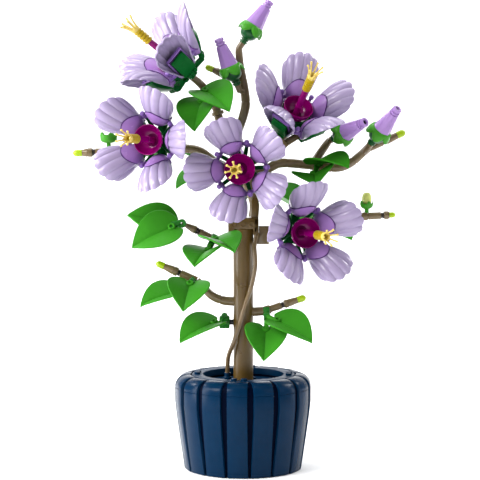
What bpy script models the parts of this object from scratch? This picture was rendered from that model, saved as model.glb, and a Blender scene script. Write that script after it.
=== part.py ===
"""A model hibiscus of glossy moulded plastic in a round pot of sixteen staves, 372 mm tall.

The origin is the middle of the pot's flat underside, +Z is up and -Y is the front.
Points and sizes inside the calls are millimetres, which mm() and tube() turn into metres.
"""

import math

import bmesh
import bpy
from mathutils import Matrix, Vector

MM = 0.001
GAP = 0.3 * MM

# Pot
POT_HEIGHT = 75.5 * MM
STAVES = 16
STAVE_WIDTH = 16.0 * MM
STAVE_RADIUS = 54.0 * MM
STAVE_FOOT_RADIUS = 46.4 * MM
STAVE_STRAIGHT_FROM = 54.0 * MM
STAVE_ROUNDING = 9.5 * MM
STAVE_LIP_RADIUS = 41.9 * MM
STAVE_LIFT = 0.4 * MM
STAVE_TURN = math.radians(-5.3)
JOINT_DEPTH = 5.0 * MM
POT_BASE = 6.4 * MM
POT_INSIDE_RADIUS = 30.0 * MM
FLOOR_RADIUS = 32.7 * MM
FLOOR_TOP = 69.0 * MM
FLOOR_THICKNESS = 3.2 * MM
RIM_INNER_RADIUS = 32.3 * MM
RIM_OUTER_RADIUS = 41.0 * MM
RIM_THICKNESS = 5.0 * MM
STUD_RADIUS = 2.4 * MM
STUD_HEIGHT = 1.7 * MM
STUD_PITCH = 8.0 * MM
STUD_RING_RADIUS = 36.6 * MM

# Trunk
TRUNK_RADIUS = 8.0 * MM
TRUNK_TOP = 192.0 * MM
VINE_RADIUS = 1.8 * MM

# Flower, in its own frame: +Z along the flower's axis, the origin at its hub
PETALS = 5
PETAL_STEP = math.tau / PETALS
PETAL_LEAN = math.radians(32.5)
PETAL_RADIAL = 24.0 * MM
PETAL_RISE = 10.1 * MM
PETAL_WALL = 1.2 * MM
PETAL_COLUMNS = 6
PETAL_CROWN = 10.2 * MM
PETAL_NECK_HALF_WIDTH = 9.0 * MM
PETAL_HALF_WIDTH = 15.75 * MM
PETAL_SIDE_REACH = 15.0 * MM
PETAL_TIP_REACH = 15.7 * MM
PETAL_SCALLOP = 0.028
LINK_RADIUS = 1.6 * MM
STALK_LENGTH = 5.0 * MM
CALYX_RADIUS = 7.0 * MM
CALYX_TOP = -2.0 * MM
CALYX_FOOT = -7.0 * MM
SEPAL_WIDTH = 11.4 * MM
DISH_RADIUS = 12.0 * MM
DISH_RIM = 16.0 * MM
DISH_WALL = 1.2 * MM
ROD_RADIUS = 2.5 * MM
SLEEVE_RADIUS = 3.2 * MM
SLEEVE_FOOT = 35.0 * MM
SLEEVE_TOP = 49.0 * MM
STALKS = 6
STALK_RADIUS = 0.75 * MM
STALK_TOP = 60.0 * MM
STALK_SPREAD = 6.4 * MM

# Bud, in its own frame: +Z towards its tip, the origin at the foot of its cone
BUD_RADIUS = 7.9 * MM
BUD_LENGTH = 25.5 * MM
BUD_FOOT = -13.5 * MM
BUD_LOBES = 5

# Leaf, in its own frame: +Y from its base to its tip, +Z up
LEAF_LENGTH = 38.0 * MM
LEAF_HALF_WIDTH = 17.5 * MM
LEAF_FOLD = math.radians(20.0)
LEAF_ARCH = 2.5 * MM
LEAF_THICKNESS = 1.2 * MM
STEM_RADIUS = 1.6 * MM
CLIP_WIDTH = 5.0 * MM
CLIP_WALL = 1.9 * MM

MATERIALS = {
    "pot_blue": ((0.010, 0.045, 0.130), 0.25),
    "bough_tan": ((0.120, 0.085, 0.045), 0.30),
    "trunk_tan": ((0.170, 0.115, 0.055), 0.28),
    "petal_lilac": ((0.510, 0.410, 0.700), 0.28),
    "centre_magenta": ((0.280, 0.000, 0.150), 0.18),
    "calyx_green": ((0.008, 0.125, 0.025), 0.30),
    "bud_violet": ((0.370, 0.185, 0.570), 0.22),
    "cup_green": ((0.030, 0.300, 0.030), 0.28),
    "leaf_green": ((0.045, 0.300, 0.025), 0.28),
    "bud_lime": ((0.550, 0.680, 0.180), 0.30),
}


def mm(*numbers):
    """A point given in millimetres."""
    return Vector(numbers) * MM


def clear_scene():
    for obj in list(bpy.data.objects):
        bpy.data.objects.remove(obj)


def new_collection(name):
    collection = bpy.data.collections.new(name)
    bpy.context.scene.collection.children.link(collection)
    return collection


def make_material(name, colour, roughness):
    material = bpy.data.materials.new(name)
    material.use_nodes = True
    shader = material.node_tree.nodes["Principled BSDF"]
    shader.inputs["Base Color"].default_value = (*colour, 1.0)
    shader.inputs["Roughness"].default_value = roughness
    shader.inputs["Metallic"].default_value = 0.0
    return material


def evaluated_mesh(obj):
    """The object's mesh with its modifiers, or its curve, made real in world space."""
    bpy.context.view_layer.update()
    graph = bpy.context.evaluated_depsgraph_get()
    mesh = bpy.data.meshes.new_from_object(obj.evaluated_get(graph), depsgraph=graph)
    mesh.transform(obj.matrix_world)
    return mesh


def welded(mesh):
    """Doubled points made one, and every face turned outwards."""
    bm = bmesh.new()
    bm.from_mesh(mesh)
    bmesh.ops.remove_doubles(bm, verts=bm.verts, dist=0.001 * MM)
    bmesh.ops.dissolve_degenerate(bm, edges=bm.edges, dist=0.001 * MM)
    bmesh.ops.recalc_face_normals(bm, faces=bm.faces)
    bm.to_mesh(mesh)
    bm.free()
    return mesh


def piece_of(mesh, matrix=Matrix.Identity(4)):
    """A loose piece, to be joined to others."""
    piece = bpy.data.objects.new("piece", mesh)
    bpy.context.scene.collection.objects.link(piece)
    piece.matrix_world = matrix
    return piece


def made_real(obj):
    """The closed mesh of a piece with modifiers or of a curve, which goes."""
    mesh = welded(evaluated_mesh(obj))
    bpy.data.objects.remove(obj)
    return mesh


def joined(pieces):
    """One closed mesh from overlapping closed pieces, which go."""
    first, *others = pieces
    helpers = new_collection("pieces_to_join")
    for piece in others:
        helpers.objects.link(piece)
    union = first.modifiers.new("union", "BOOLEAN")
    union.operation = "UNION"
    union.solver = "EXACT"
    union.operand_type = "COLLECTION"
    union.collection = helpers
    mesh = evaluated_mesh(first)
    for piece in pieces:
        bpy.data.objects.remove(piece)
    bpy.data.collections.remove(helpers)
    return mesh


def turned(profile, segments, matrix=Matrix.Identity(4)):
    """A solid of revolution. The profile holds (radius, height) and runs down its outer side."""
    bm = bmesh.new()
    points = [bm.verts.new((radius, 0.0, height)) for radius, height in profile]
    for upper, lower in zip(points, points[1:]):
        bm.edges.new((upper, lower))
    if profile[0][0] > 0.0:
        bm.edges.new((points[-1], points[0]))
    mesh = bpy.data.meshes.new("profile")
    bm.to_mesh(mesh)
    bm.free()
    obj = piece_of(mesh)
    screw = obj.modifiers.new("turn", "SCREW")
    screw.steps = segments
    screw.render_steps = segments
    screw.use_merge_vertices = True
    screw.merge_threshold = 0.001 * MM
    return piece_of(made_real(obj), matrix)


def tube(stations, resolution=2):
    """A limb through stations of (x, y, z, radius) in millimetres, with 4 + 2 * resolution sides."""
    curve = bpy.data.curves.new("limb", "CURVE")
    curve.dimensions = "3D"
    curve.bevel_depth = MM
    curve.bevel_resolution = resolution
    curve.use_fill_caps = True
    spline = curve.splines.new("POLY")
    spline.points.add(len(stations) - 1)
    for point, (x, y, z, radius) in zip(spline.points, stations):
        point.co = (x * MM, y * MM, z * MM, 1.0)
        point.radius = radius
    obj = bpy.data.objects.new("limb", curve)
    bpy.context.scene.collection.objects.link(obj)
    return piece_of(made_real(obj))


def extruded(outline, thickness, matrix=Matrix.Identity(4)):
    """A flat plate in the XY plane from points in metres, half its thickness on each side."""
    curve = bpy.data.curves.new("outline", "CURVE")
    curve.dimensions = "2D"
    curve.fill_mode = "BOTH"
    curve.extrude = thickness / 2
    spline = curve.splines.new("POLY")
    spline.points.add(len(outline) - 1)
    for point, (x, y) in zip(spline.points, outline):
        point.co = (x, y, 0.0, 1.0)
    spline.use_cyclic_u = True
    obj = bpy.data.objects.new("outline", curve)
    bpy.context.scene.collection.objects.link(obj)
    return piece_of(made_real(obj), matrix)


def smooth(stations, per_span=2):
    """More stations on a smooth curve through the given ones."""
    rows = [Vector(station) for station in stations]
    rows = [2 * rows[0] - rows[1], *rows, 2 * rows[-1] - rows[-2]]
    found = []
    for before, start, end, after in zip(rows, rows[1:], rows[2:], rows[3:]):
        for step in range(per_span):
            t = step / per_span
            found.append(
                0.5
                * (
                    2 * start
                    + (end - before) * t
                    + (2 * before - 5 * start + 4 * end - after) * t**2
                    + (3 * start - before - 3 * end + after) * t**3
                )
            )
    found.append(rows[-2])
    return [tuple(row) for row in found]


def along(start, end, profile):
    """Stations on a straight line, from a profile of (millimetres from its start, radius)."""
    start, end = Vector(start), Vector(end)
    unit = (end - start) / profile[-1][0]
    return [(*(start + unit * distance), radius) for distance, radius in profile]


# A straight twig of two cones with a small round tip, as (millimetres from its start, radius)
TWIG = ((0.0, 3.3), (9.4, 2.3), (9.8, 3.0), (18.0, 2.2), (18.4, 2.7), (24.0, 2.3))


def frame_on(place, axis, turn=0.0):
    """A frame at a place with +Z along axis, +X level, turned about its own +Z."""
    forward = Vector(axis).normalized()
    level = Vector((0.0, 0.0, 1.0)).cross(forward).normalized()
    rest = Matrix((level, forward.cross(level), forward)).transposed().to_4x4()
    return Matrix.Translation(place) @ rest @ Matrix.Rotation(turn, 4, "Z")


class Builder:
    """Keeps the plant's collection and materials, and adds the named objects to them."""

    def __init__(self):
        self.plant = new_collection("hibiscus")
        self.materials = {
            name: make_material(name, *look) for name, look in MATERIALS.items()
        }

    def add(self, name, mesh, material, matrix=Matrix.Identity(4)):
        if not mesh.materials:
            mesh.materials.append(self.materials[material])
        mesh.shade_smooth()
        mesh.set_sharp_from_angle(angle=math.radians(35.0))
        obj = bpy.data.objects.new(name, mesh)
        self.plant.objects.link(obj)
        obj.matrix_world = matrix
        return obj


# Pot


def stave_radius(height):
    """How far out a stave's face is at a height, flat above and drawn in towards the foot."""
    down = max(0.0, 1.0 - height / STAVE_STRAIGHT_FROM)
    return STAVE_RADIUS - (STAVE_RADIUS - STAVE_FOOT_RADIUS) * down**1.15


def pot_side(set_back, foot):
    """The pot's outer line from where it is straight down to its foot, as (radius, height)."""
    heights = (STAVE_STRAIGHT_FROM, 0.4 * STAVE_STRAIGHT_FROM, foot)
    return [(stave_radius(height) - set_back, height) for height in heights]


def stave_head(spans=3):
    """The quarter round from a stave's top down to its face."""
    middle = STAVE_RADIUS - STAVE_ROUNDING, POT_HEIGHT - STAVE_ROUNDING
    line = []
    for step in range(spans + 1):
        angle = math.radians(90.0 * (1.0 - step / spans))
        line.append((
            middle[0] + STAVE_ROUNDING * math.cos(angle),
            middle[1] + STAVE_ROUNDING * math.sin(angle),
        ))
    return line


def make_pot_wall():
    """A core with its edges behind the joints, and the staves round it."""
    shoulder = POT_HEIGHT - RIM_THICKNESS - GAP
    ledge = FLOOR_TOP - FLOOR_THICKNESS - GAP
    floor_recess = (FLOOR_RADIUS + GAP) / math.cos(math.pi / STAVES)
    rim_recess = (RIM_OUTER_RADIUS + GAP) / math.cos(math.pi / STAVES)
    core = [
        (0.0, POT_BASE),
        (POT_INSIDE_RADIUS, POT_BASE),
        (POT_INSIDE_RADIUS, ledge),
        (floor_recess, ledge),
        (floor_recess, shoulder),
        (rim_recess, shoulder),
        (rim_recess, POT_HEIGHT - 3 * GAP),
        (rim_recess + 5 * GAP, POT_HEIGHT - 3 * GAP),
        (STAVE_RADIUS - JOINT_DEPTH, POT_HEIGHT - STAVE_ROUNDING),
    ]
    core += pot_side(JOINT_DEPTH, 0.0)
    core.append((0.0, 0.0))
    turn = Matrix.Rotation(STAVE_TURN + math.pi / STAVES, 4, "Z")
    pieces = [turned(core, STAVES, turn)]
    inner = [
        (stave_radius(STAVE_LIFT) - 2 * JOINT_DEPTH, STAVE_LIFT),
        (STAVE_LIP_RADIUS, shoulder + 5 * GAP),
        (STAVE_LIP_RADIUS, POT_HEIGHT),
    ]
    outline = stave_head() + pot_side(0.0, STAVE_LIFT) + inner
    stave = extruded(outline, STAVE_WIDTH)
    upright = Matrix.Rotation(math.radians(90.0), 4, "X")
    for index in range(STAVES):
        angle = STAVE_TURN + math.tau * index / STAVES
        pieces.append(piece_of(stave.data, Matrix.Rotation(angle, 4, "Z") @ upright))
    bpy.data.objects.remove(stave)
    return joined(pieces)


def make_pot_floor():
    hole = TRUNK_RADIUS + GAP
    foot = FLOOR_TOP - FLOOR_THICKNESS
    profile = [(FLOOR_RADIUS, FLOOR_TOP), (FLOOR_RADIUS, foot), (hole, foot), (hole, FLOOR_TOP)]
    return made_real(turned(profile, 24))


def make_pot_rim():
    foot = POT_HEIGHT - RIM_THICKNESS
    profile = [
        (RIM_OUTER_RADIUS, POT_HEIGHT),
        (RIM_OUTER_RADIUS, foot),
        (RIM_INNER_RADIUS, foot),
        (RIM_INNER_RADIUS, POT_HEIGHT),
    ]
    pieces = [turned(profile, 24)]
    ring = STUD_RING_RADIUS / MM
    for quarter in range(4):
        turn = Matrix.Rotation(STAVE_TURN + quarter * math.tau / 4, 3, "Z")
        for side in (-0.5, 0.5):
            foot = turn @ Vector((ring, side * STUD_PITCH / MM, (POT_HEIGHT - 1 * MM) / MM))
            head = foot + Vector((0.0, 0.0, 1.0 + STUD_HEIGHT / MM))
            pieces.append(tube([(*foot, STUD_RADIUS / MM), (*head, STUD_RADIUS / MM)], 1))
    return joined(pieces)


# Trunk and boughs


def make_trunk_column():
    profile = [
        (0.0, TRUNK_TOP),
        (TRUNK_RADIUS, TRUNK_TOP),
        (TRUNK_RADIUS, POT_BASE + GAP),
        (0.0, POT_BASE + GAP),
    ]
    return made_real(turned(profile, 24))


def make_trunk_collar():
    """A saddle over the column's head, with a cheek down each side of it."""
    half, cheek, round_off = 12.0 * MM, TRUNK_RADIUS + 1.5 * GAP, 3.0 * MM
    foot, seat, top = 188.5 * MM, TRUNK_TOP + GAP, 200.5 * MM
    outline = [
        (-half, foot), (-cheek, foot), (-cheek, seat), (cheek, seat), (cheek, foot),
        (half, foot), (half, top - round_off), (half - round_off, top),
        (round_off - half, top), (-half, top - round_off),
    ]
    upright = Matrix.Rotation(math.radians(90.0), 4, "X")
    return made_real(extruded(outline, 15.0 * MM, upright))


def make_upper_trunk():
    """The leaning post from the collar to the fork behind the middle flower."""
    post = smooth([
        (8.2, 1.0, 200.9, 4.0), (8.8, 1.0, 212.0, 4.0), (5.0, 0.5, 225.0, 5.0),
        (0.4, 0.0, 235.0, 6.6), (-1.8, 0.0, 241.0, 7.2), (-2.6, 0.0, 249.0, 7.4),
    ], 2)
    stalk = [(0.0, -3.0, 240.0, 2.8), *run_up(FLOWERS["centre"], CALYX_FOOT, 2.8)]
    return joined([tube(post, 3), tube(stalk)])


def make_arm_right():
    """The square arm beside the column's head, and the stalk of the right flower."""
    outline = [
        mm(x, z).to_tuple()
        for x, z in (
            (8.4, 179.5), (20.5, 179.5), (20.5, 194.0), (12.4, 194.0), (12.4, 188.0), (8.4, 188.0),
        )
    ]
    block = extruded(outline, 8.0 * MM, Matrix.Rotation(math.radians(90.0), 4, "X"))
    bar = [(18.0, 0.0, 187.0, 3.2), (26.0, 0.0, 188.5, 3.2), (44.0, 0.0, 190.5, 3.2)]
    stalk = [(34.4, 0.0, 190.5, 2.8), *run_up(FLOWERS["right"], CALYX_FOOT, 2.8)]
    return joined([block, tube(bar), tube(stalk)])


def make_vine():
    """The thin stem that winds down the column from the arm to the pot's floor."""
    r = VINE_RADIUS / MM
    return made_real(tube(smooth([
        (10.3, -6.3, 186.8, r), (8.8, -9.2, 178.0, r), (9.5, -10.0, 163.0, r),
        (6.5, -10.2, 147.0, r), (2.9, -10.4, 136.0, r), (-1.0, -10.6, 123.0, r),
        (-7.2, -9.6, 103.0, r), (-11.8, -4.0, 90.0, r), (-12.6, -0.2, 77.0, r),
        (-12.6, 0.0, 69.6, r),
    ]), 1))


# The control stations of each bough, as (x, y, z, radius), from its foot outwards
ROUTES = {
    "left": (
        (-10.2, 0.0, 239.6, 3.8), (-20.8, 0.0, 243.0, 3.7), (-33.5, 0.0, 252.6, 3.6),
        (-45.7, 0.0, 255.3, 3.5), (-65.0, 0.0, 254.8, 3.3), (-108.0, 0.0, 252.8, 3.2),
    ),
    "upper_left": (
        (-7.6, -3.6, 250.4, 3.3), (-12.5, -3.2, 259.5, 3.4), (-18.0, -2.0, 274.5, 3.4),
        (-21.6, -2.2, 287.5, 3.4), (-28.0, -6.3, 299.0, 3.2), (-33.2, -10.2, 305.6, 3.1),
    ),
    "top": (
        (-4.4, 3.8, 249.9, 3.4), (-6.0, 3.4, 257.5, 3.4), (-4.2, 2.0, 268.5, 3.5),
        (-0.6, 0.6, 279.0, 3.6), (1.9, 0.0, 290.5, 3.6), (0.4, 0.0, 305.0, 3.4),
        (-2.4, 0.0, 320.0, 3.1), (-3.4, 0.0, 331.0, 2.9),
    ),
    "upper_right": (
        (6.4, 2.2, 244.5, 3.2), (17.0, 4.0, 251.0, 3.2), (28.0, 6.0, 260.0, 3.2),
    ),
    "right": (
        (7.9, 0.0, 235.5, 3.7), (16.5, 0.0, 237.0, 3.7), (23.0, 0.0, 241.3, 3.7),
        (30.0, 0.0, 243.8, 3.7), (43.0, 0.0, 243.2, 3.6), (62.0, 0.0, 241.0, 3.6),
        (75.0, 0.0, 240.2, 3.5), (83.5, 0.0, 243.0, 3.4), (91.0, 0.0, 248.5, 3.3),
    ),
    "mid_right": (
        (45.4, 0.0, 191.0, 3.0), (58.0, 0.0, 196.0, 3.0), (72.0, 0.0, 200.6, 3.0),
        (91.0, 0.0, 201.2, 3.0),
    ),
    "mid_left": ((-9.3, 0.0, 177.4, 3.0), (-20.0, 0.0, 181.5, 3.0), (-34.0, 0.0, 188.6, 3.0)),
    "low_left": (
        (-8.5, 0.0, 133.6, 3.3), (-16.0, 0.0, 134.4, 3.3), (-25.0, 0.0, 138.2, 3.3),
        (-32.0, 0.0, 145.2, 3.3), (-37.0, 0.0, 150.3, 3.3),
    ),
    "low_right": ((8.6, 0.0, 125.2, 3.3), (17.0, 0.0, 125.9, 3.3)),
    "back": ((8.5, 6.6, 216.2, 2.9), (7.0, 16.0, 219.0, 2.9), (3.0, 27.0, 226.0, 2.9)),
    "stub_left": ((-8.6, 0.0, 117.0, 2.2), (-18.5, 0.0, 117.0, 2.2)),
}


def run_up(seat, foot, radius):
    """The last stations of a stalk, in line with the flower or bud that it carries."""
    place, axis = seat[0], Vector(seat[1]).normalized()
    foot, gap = foot / MM, GAP / MM
    return [
        (*(Vector(place) + axis * (foot - distance)), radius)
        for distance in (STALK_LENGTH / MM, 1.3 * gap)
    ]


def bough_route(name):
    return smooth(ROUTES[name])


def make_bough_left():
    """The long level bough to the left, with the stalk of the left flower."""
    limb = bough_route("left") + along((-110.5, 0.0, 252.7), (-135.0, 0.0, 251.5), TWIG)
    stalk = [
        (-59.0, 0.0, 254.8, 2.8), (-60.5, -4.0, 258.5, 2.8),
        *run_up(FLOWERS["left"], CALYX_FOOT, 2.8),
    ]
    return joined([tube(limb), tube(stalk, 1)])


def make_bough_upper_left():
    """The bough from the fork up to the flower at the top left."""
    return made_real(tube(bough_route("upper_left") + run_up(FLOWERS["top_left"], CALYX_FOOT, 2.8)))


def make_bough_top():
    """The upright bough with a bud's stalk and a twig on its left."""
    limb = bough_route("top") + run_up(bud_seat("top"), BUD_FOOT, 2.6)
    stalk = [(1.0, 0.0, 300.0, 2.4), *run_up(bud_seat("top_left"), BUD_FOOT, 2.4)]
    twig = along((0.0, 0.0, 307.5), (-30.0, 0.0, 320.0), (
        (0.0, 2.6), (15.0, 2.6), (15.4, 3.1), (22.5, 2.2), (22.9, 2.7), (32.0, 2.3),
    ))
    return joined([tube(limb), tube(stalk, 1), tube(twig, 1)])


def make_bough_upper_right():
    """The bough from the fork to the flower at the top right."""
    limb = bough_route("upper_right") + run_up(FLOWERS["top_right"], CALYX_FOOT, 2.8)
    return made_real(tube(limb))


def make_bough_right():
    """The curved bough to the right, with the stalks of two buds and a twig."""
    limb = bough_route("right") + run_up(bud_seat("far_right"), BUD_FOOT, 2.8)
    spur = [
        (54.5, 0.0, 242.0, 3.3), (60.0, 1.5, 250.0, 3.3), (65.6, 5.2, 257.8, 3.1),
        *run_up(bud_seat("right"), BUD_FOOT, 2.8),
    ]
    twig = [(94.0, 0.0, 250.5, 2.6)] + along((100.0, 7.5, 255.0), (129.0, 9.0, 268.5), (
        (0.0, 2.4), (14.0, 2.4), (14.4, 3.2), (24.5, 2.0), (24.9, 2.8), (32.0, 2.4),
    ))
    return joined([tube(limb), tube(spur, 1), tube(twig, 1)])


def make_bough_mid_right():
    """The bough beyond the right flower, which ends in a twig."""
    limb = bough_route("mid_right") + along((93.0, 0.0, 201.3), (121.0, 0.0, 202.8), (
        (0.0, 2.3), (11.0, 2.3), (11.4, 3.1), (21.0, 2.0), (21.4, 2.7), (28.0, 2.3),
    ))
    return made_real(tube(limb))


def make_bough_mid_left():
    """The short bough on the left of the column's head, with a ball on its end."""
    limb = bough_route("mid_left") + along((-35.0, 0.0, 189.1), (-48.5, 0.0, 196.0), (
        (0.0, 2.4), (2.0, 3.3), (10.0, 2.2), (11.0, 3.2), (13.0, 3.9), (15.0, 3.9), (17.0, 1.8),
    ))
    return made_real(tube(limb))


def make_bough_low_left():
    """The lower left bough, which sweeps out and up to a twig."""
    limb = bough_route("low_left") + along((-40.0, 0.0, 152.0), (-69.5, 0.0, 164.5), (
        (0.0, 3.3), (9.8, 2.8), (10.2, 3.3), (23.0, 2.3), (23.4, 2.8), (31.5, 2.4),
    ))
    return made_real(tube(limb))


def make_bough_low_right():
    """The lower right bough with its twig."""
    limb = list(ROUTES["low_right"]) + along((19.0, 0.0, 126.6), (50.0, 0.0, 137.0), (
        (0.0, 3.4), (3.0, 3.4), (14.0, 2.4), (14.4, 3.0), (25.0, 2.2), (25.4, 2.8), (32.7, 2.4),
    ))
    return made_real(tube(limb))


def make_bough_back():
    """The bough at the back of the post, which carries a bud and leaves."""
    return made_real(tube(bough_route("back") + run_up(bud_seat("back"), BUD_FOOT, 2.7)))


def make_stub_left():
    return made_real(tube(ROUTES["stub_left"]))


# Flowers


def petal_row(reach):
    """Half width, side place, ridge reach and height of a petal where reach runs from 0 to 1."""
    flare = reach**2 * (3.0 - 2.0 * reach)
    return (
        PETAL_NECK_HALF_WIDTH + (PETAL_HALF_WIDTH - PETAL_NECK_HALF_WIDTH) * flare,
        PETAL_SIDE_REACH * reach,
        PETAL_TIP_REACH * reach**0.86,
        PETAL_CROWN * (1.0 - reach**2.6) ** 0.7,
    )


def make_petal():
    """A scalloped half shell. +Y is its ridge towards the tip and +Z its bulging side."""
    rows = [(8.2 * MM, -8.6 * MM, 0.0, 8.4 * MM)]
    rows += [petal_row(reach) for reach in (0.0, 0.45, 0.82, 1.0)]
    bm = bmesh.new()
    grid = []
    for number, (half_width, side, ridge, height) in enumerate(rows):
        depth = PETAL_SCALLOP * max(0, number - 1) / 3
        row = []
        for column in range(PETAL_COLUMNS + 1):
            turn = math.pi * (column / PETAL_COLUMNS - 0.5)
            flute = 1.0 + depth * (-1) ** column
            row.append(bm.verts.new((
                half_width * math.sin(turn) * flute,
                side + ridge * math.cos(turn) * flute,
                height * math.cos(turn) * flute,
            )))
        grid.append(row)
    pole = bm.verts.new(mm(0.0, -12.0, 1.2))
    for left, right in zip(grid[0], grid[0][1:]):
        bm.faces.new((pole, right, left))
    for lower, upper in zip(grid, grid[1:]):
        for column in range(PETAL_COLUMNS):
            bm.faces.new((
                lower[column], lower[column + 1], upper[column + 1], upper[column],
            ))
    mesh = bpy.data.meshes.new("petal")
    bm.to_mesh(mesh)
    bm.free()
    obj = piece_of(mesh)
    wall = obj.modifiers.new("wall", "SOLIDIFY")
    wall.thickness = PETAL_WALL
    wall.offset = -1.0
    return made_real(obj)


def petal_frame(azimuth):
    """The frame of the petal at an azimuth round the flower's axis."""
    outward = Vector((math.cos(azimuth), math.sin(azimuth), 0.0))
    across = Vector((math.sin(azimuth), -math.cos(azimuth), 0.0))
    up = Vector((0.0, 0.0, 1.0))
    ridge = math.sin(PETAL_LEAN) * outward + math.cos(PETAL_LEAN) * up
    bulge = math.sin(PETAL_LEAN) * up - math.cos(PETAL_LEAN) * outward
    frame = Matrix((across, ridge, bulge)).transposed().to_4x4()
    return Matrix.Translation(PETAL_RADIAL * outward + PETAL_RISE * up) @ frame


def make_corolla():
    """Five petals, with a pin between each pair."""
    petal = make_petal()
    pieces = []
    pin_radial, pin_rise, pin_half = 19.55, 6.3, 5.7
    radius = LINK_RADIUS / MM
    for index in range(PETALS):
        azimuth = index * PETAL_STEP
        pieces.append(piece_of(petal, petal_frame(azimuth)))
        between = azimuth + PETAL_STEP / 2
        out_x, out_y = math.cos(between), math.sin(between)
        pin = [
            (pin_radial * out_x - side * out_y, pin_radial * out_y + side * out_x, pin_rise, radius)
            for side in (-pin_half, pin_half)
        ]
        pieces.append(tube(pin, 0))
    return joined(pieces)


def make_calyx():
    """The green hub behind the petals, with a spoke and a sepal for each."""
    profile = [
        (0.0, CALYX_TOP), (CALYX_RADIUS, CALYX_TOP), (CALYX_RADIUS, CALYX_FOOT), (0.0, CALYX_FOOT),
    ]
    pieces = [turned(profile, 10)]
    outline = [
        mm(y, h).to_tuple()
        for y, h in (
            (-16.0, -3.2), (8.5, -1.6), (8.5, 1.2), (-5.5, 1.2), (-8.6, -1.1), (-16.0, -1.1),
        )
    ]
    on_ridge = Matrix(((0, 0, 1, 0), (1, 0, 0, 0), (0, 1, 0, 0), (0, 0, 0, 1)))
    spoke_start, spoke_end, spoke_width = 5.0 * MM, 17.5 * MM, 5.0 * MM
    spoke_foot, spoke_top = -6.2 * MM, -3.2 * MM
    for index in range(PETALS):
        azimuth = index * PETAL_STEP
        pieces.append(extruded(outline, SEPAL_WIDTH, petal_frame(azimuth) @ on_ridge))
        spoke = [
            (spoke_start, -spoke_width / 2), (spoke_end, -spoke_width / 2),
            (spoke_end, spoke_width / 2), (spoke_start, spoke_width / 2),
        ]
        middle = Matrix.Translation((0.0, 0.0, (spoke_foot + spoke_top) / 2))
        turn = Matrix.Rotation(azimuth, 4, "Z")
        pieces.append(extruded(spoke, spoke_top - spoke_foot, turn @ middle))
    return joined(pieces)


def make_centre():
    """The dish with its rod, the yellow sleeve and the six stalks on it."""
    inside = [(ROD_RADIUS, 10.4 * MM), (8.0 * MM, 11.3 * MM), (11.0 * MM, 13.5 * MM)]
    outside = [
        (DISH_RADIUS, DISH_RIM - DISH_WALL / 2), (11.4 * MM, 12.6 * MM), (8.4 * MM, 10.2 * MM),
        (2.4 * MM, 9.2 * MM), (2.4 * MM, CALYX_TOP + GAP), (0.0, CALYX_TOP + GAP),
    ]
    profile = [
        (0.0, SLEEVE_TOP), (SLEEVE_RADIUS, SLEEVE_TOP), (SLEEVE_RADIUS, SLEEVE_FOOT),
        (ROD_RADIUS, SLEEVE_FOOT), *inside, (DISH_RADIUS - DISH_WALL / 2, DISH_RIM), *outside,
    ]
    pieces = [turned(profile, 10)]
    top, spread, radius = STALK_TOP / MM, STALK_SPREAD / MM, STALK_RADIUS / MM
    foot = SLEEVE_TOP / MM
    for index in range(STALKS):
        azimuth = index * math.tau / STALKS
        x, y = math.cos(azimuth), math.sin(azimuth)
        pieces.append(tube([
            (1.9 * x, 1.9 * y, foot - 1.2, radius), (spread * x, spread * y, top, 1.3 * radius),
        ], 0))
    return joined(pieces)


FLOWERS = {
    "centre": ((-1.2, -23.6, 240.1), (-0.108, -0.994, 0.012), 40.0),
    "left": ((-68.0, -22.0, 262.2), (-0.374, -0.926, 0.044), 0.0),
    "right": ((42.6, -19.4, 190.9), (0.391, -0.920, -0.017), 20.0),
    "top_right": ((39.1, -2.0, 277.8), (0.272, -0.685, 0.676), 3.5),
    "top_left": ((-46.6, -15.0, 317.0), (-0.740, -0.263, 0.619), -5.4),
}


def add_flowers(builder):
    parts = {
        "petals": (make_corolla(), "petal_lilac"),
        "calyx": (make_calyx(), "calyx_green"),
        "centre": (make_centre(), "centre_magenta"),
    }
    for place, (hub, axis, turn) in FLOWERS.items():
        matrix = frame_on(mm(*hub), axis, math.radians(turn))
        for part, (mesh, material) in parts.items():
            builder.add(f"flower_{place}_{part}", mesh, material, matrix)


# Buds


def make_bud_cone():
    """A rolled bud: a long cone with a stepped, hollow end."""
    radius, length = BUD_RADIUS / MM, BUD_LENGTH / MM
    profile = [
        (0.0, length - 3.0), (1.6, length - 3.0), (1.6, length), (3.1, length),
        (3.3, length - 3.2), (4.0, length - 3.5), (radius, 0.0), (0.0, 0.0),
    ]
    return made_real(turned([(r * MM, z * MM) for r, z in profile], 10))


def make_bud_calyx():
    """The bud's green cup: a lobed collar on a bowl with a neck."""
    profile = [
        (0.0, -0.3), (8.4, -0.3), (9.6, 4.3), (10.6, 4.0), (9.0, -1.8), (6.8, -2.8), (6.8, -6.0),
        (2.8, -10.4), (2.8, BUD_FOOT / MM), (0.0, BUD_FOOT / MM),
    ]
    mesh = made_real(turned([(r * MM, z * MM) for r, z in profile], 2 * BUD_LOBES))
    for vertex in mesh.vertices:
        x, y, z = vertex.co
        if z > 2.0 * MM:
            notch = 1.0 - abs(math.cos(BUD_LOBES / 2 * math.atan2(y, x)))
            vertex.co.z = z - 3.4 * MM * notch
            vertex.co.x = x * (1.0 - 0.07 * notch)
            vertex.co.y = y * (1.0 - 0.07 * notch)
    return mesh


BUDS = {
    "top": ((7.0, 0.0, 350.0), (20.5, 0.0, 370.5)),
    "top_left": ((-10.0, -10.0, 318.0), (-19.0, -14.0, 340.0)),
    "right": ((79.6, -5.0, 267.6), (94.6, -22.8, 276.3)),
    "far_right": ((108.0, -5.0, 269.0), (120.0, -17.0, 286.0)),
    "back": ((-3.0, 43.0, 242.5), (-8.0, 58.0, 258.0)),
}


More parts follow.
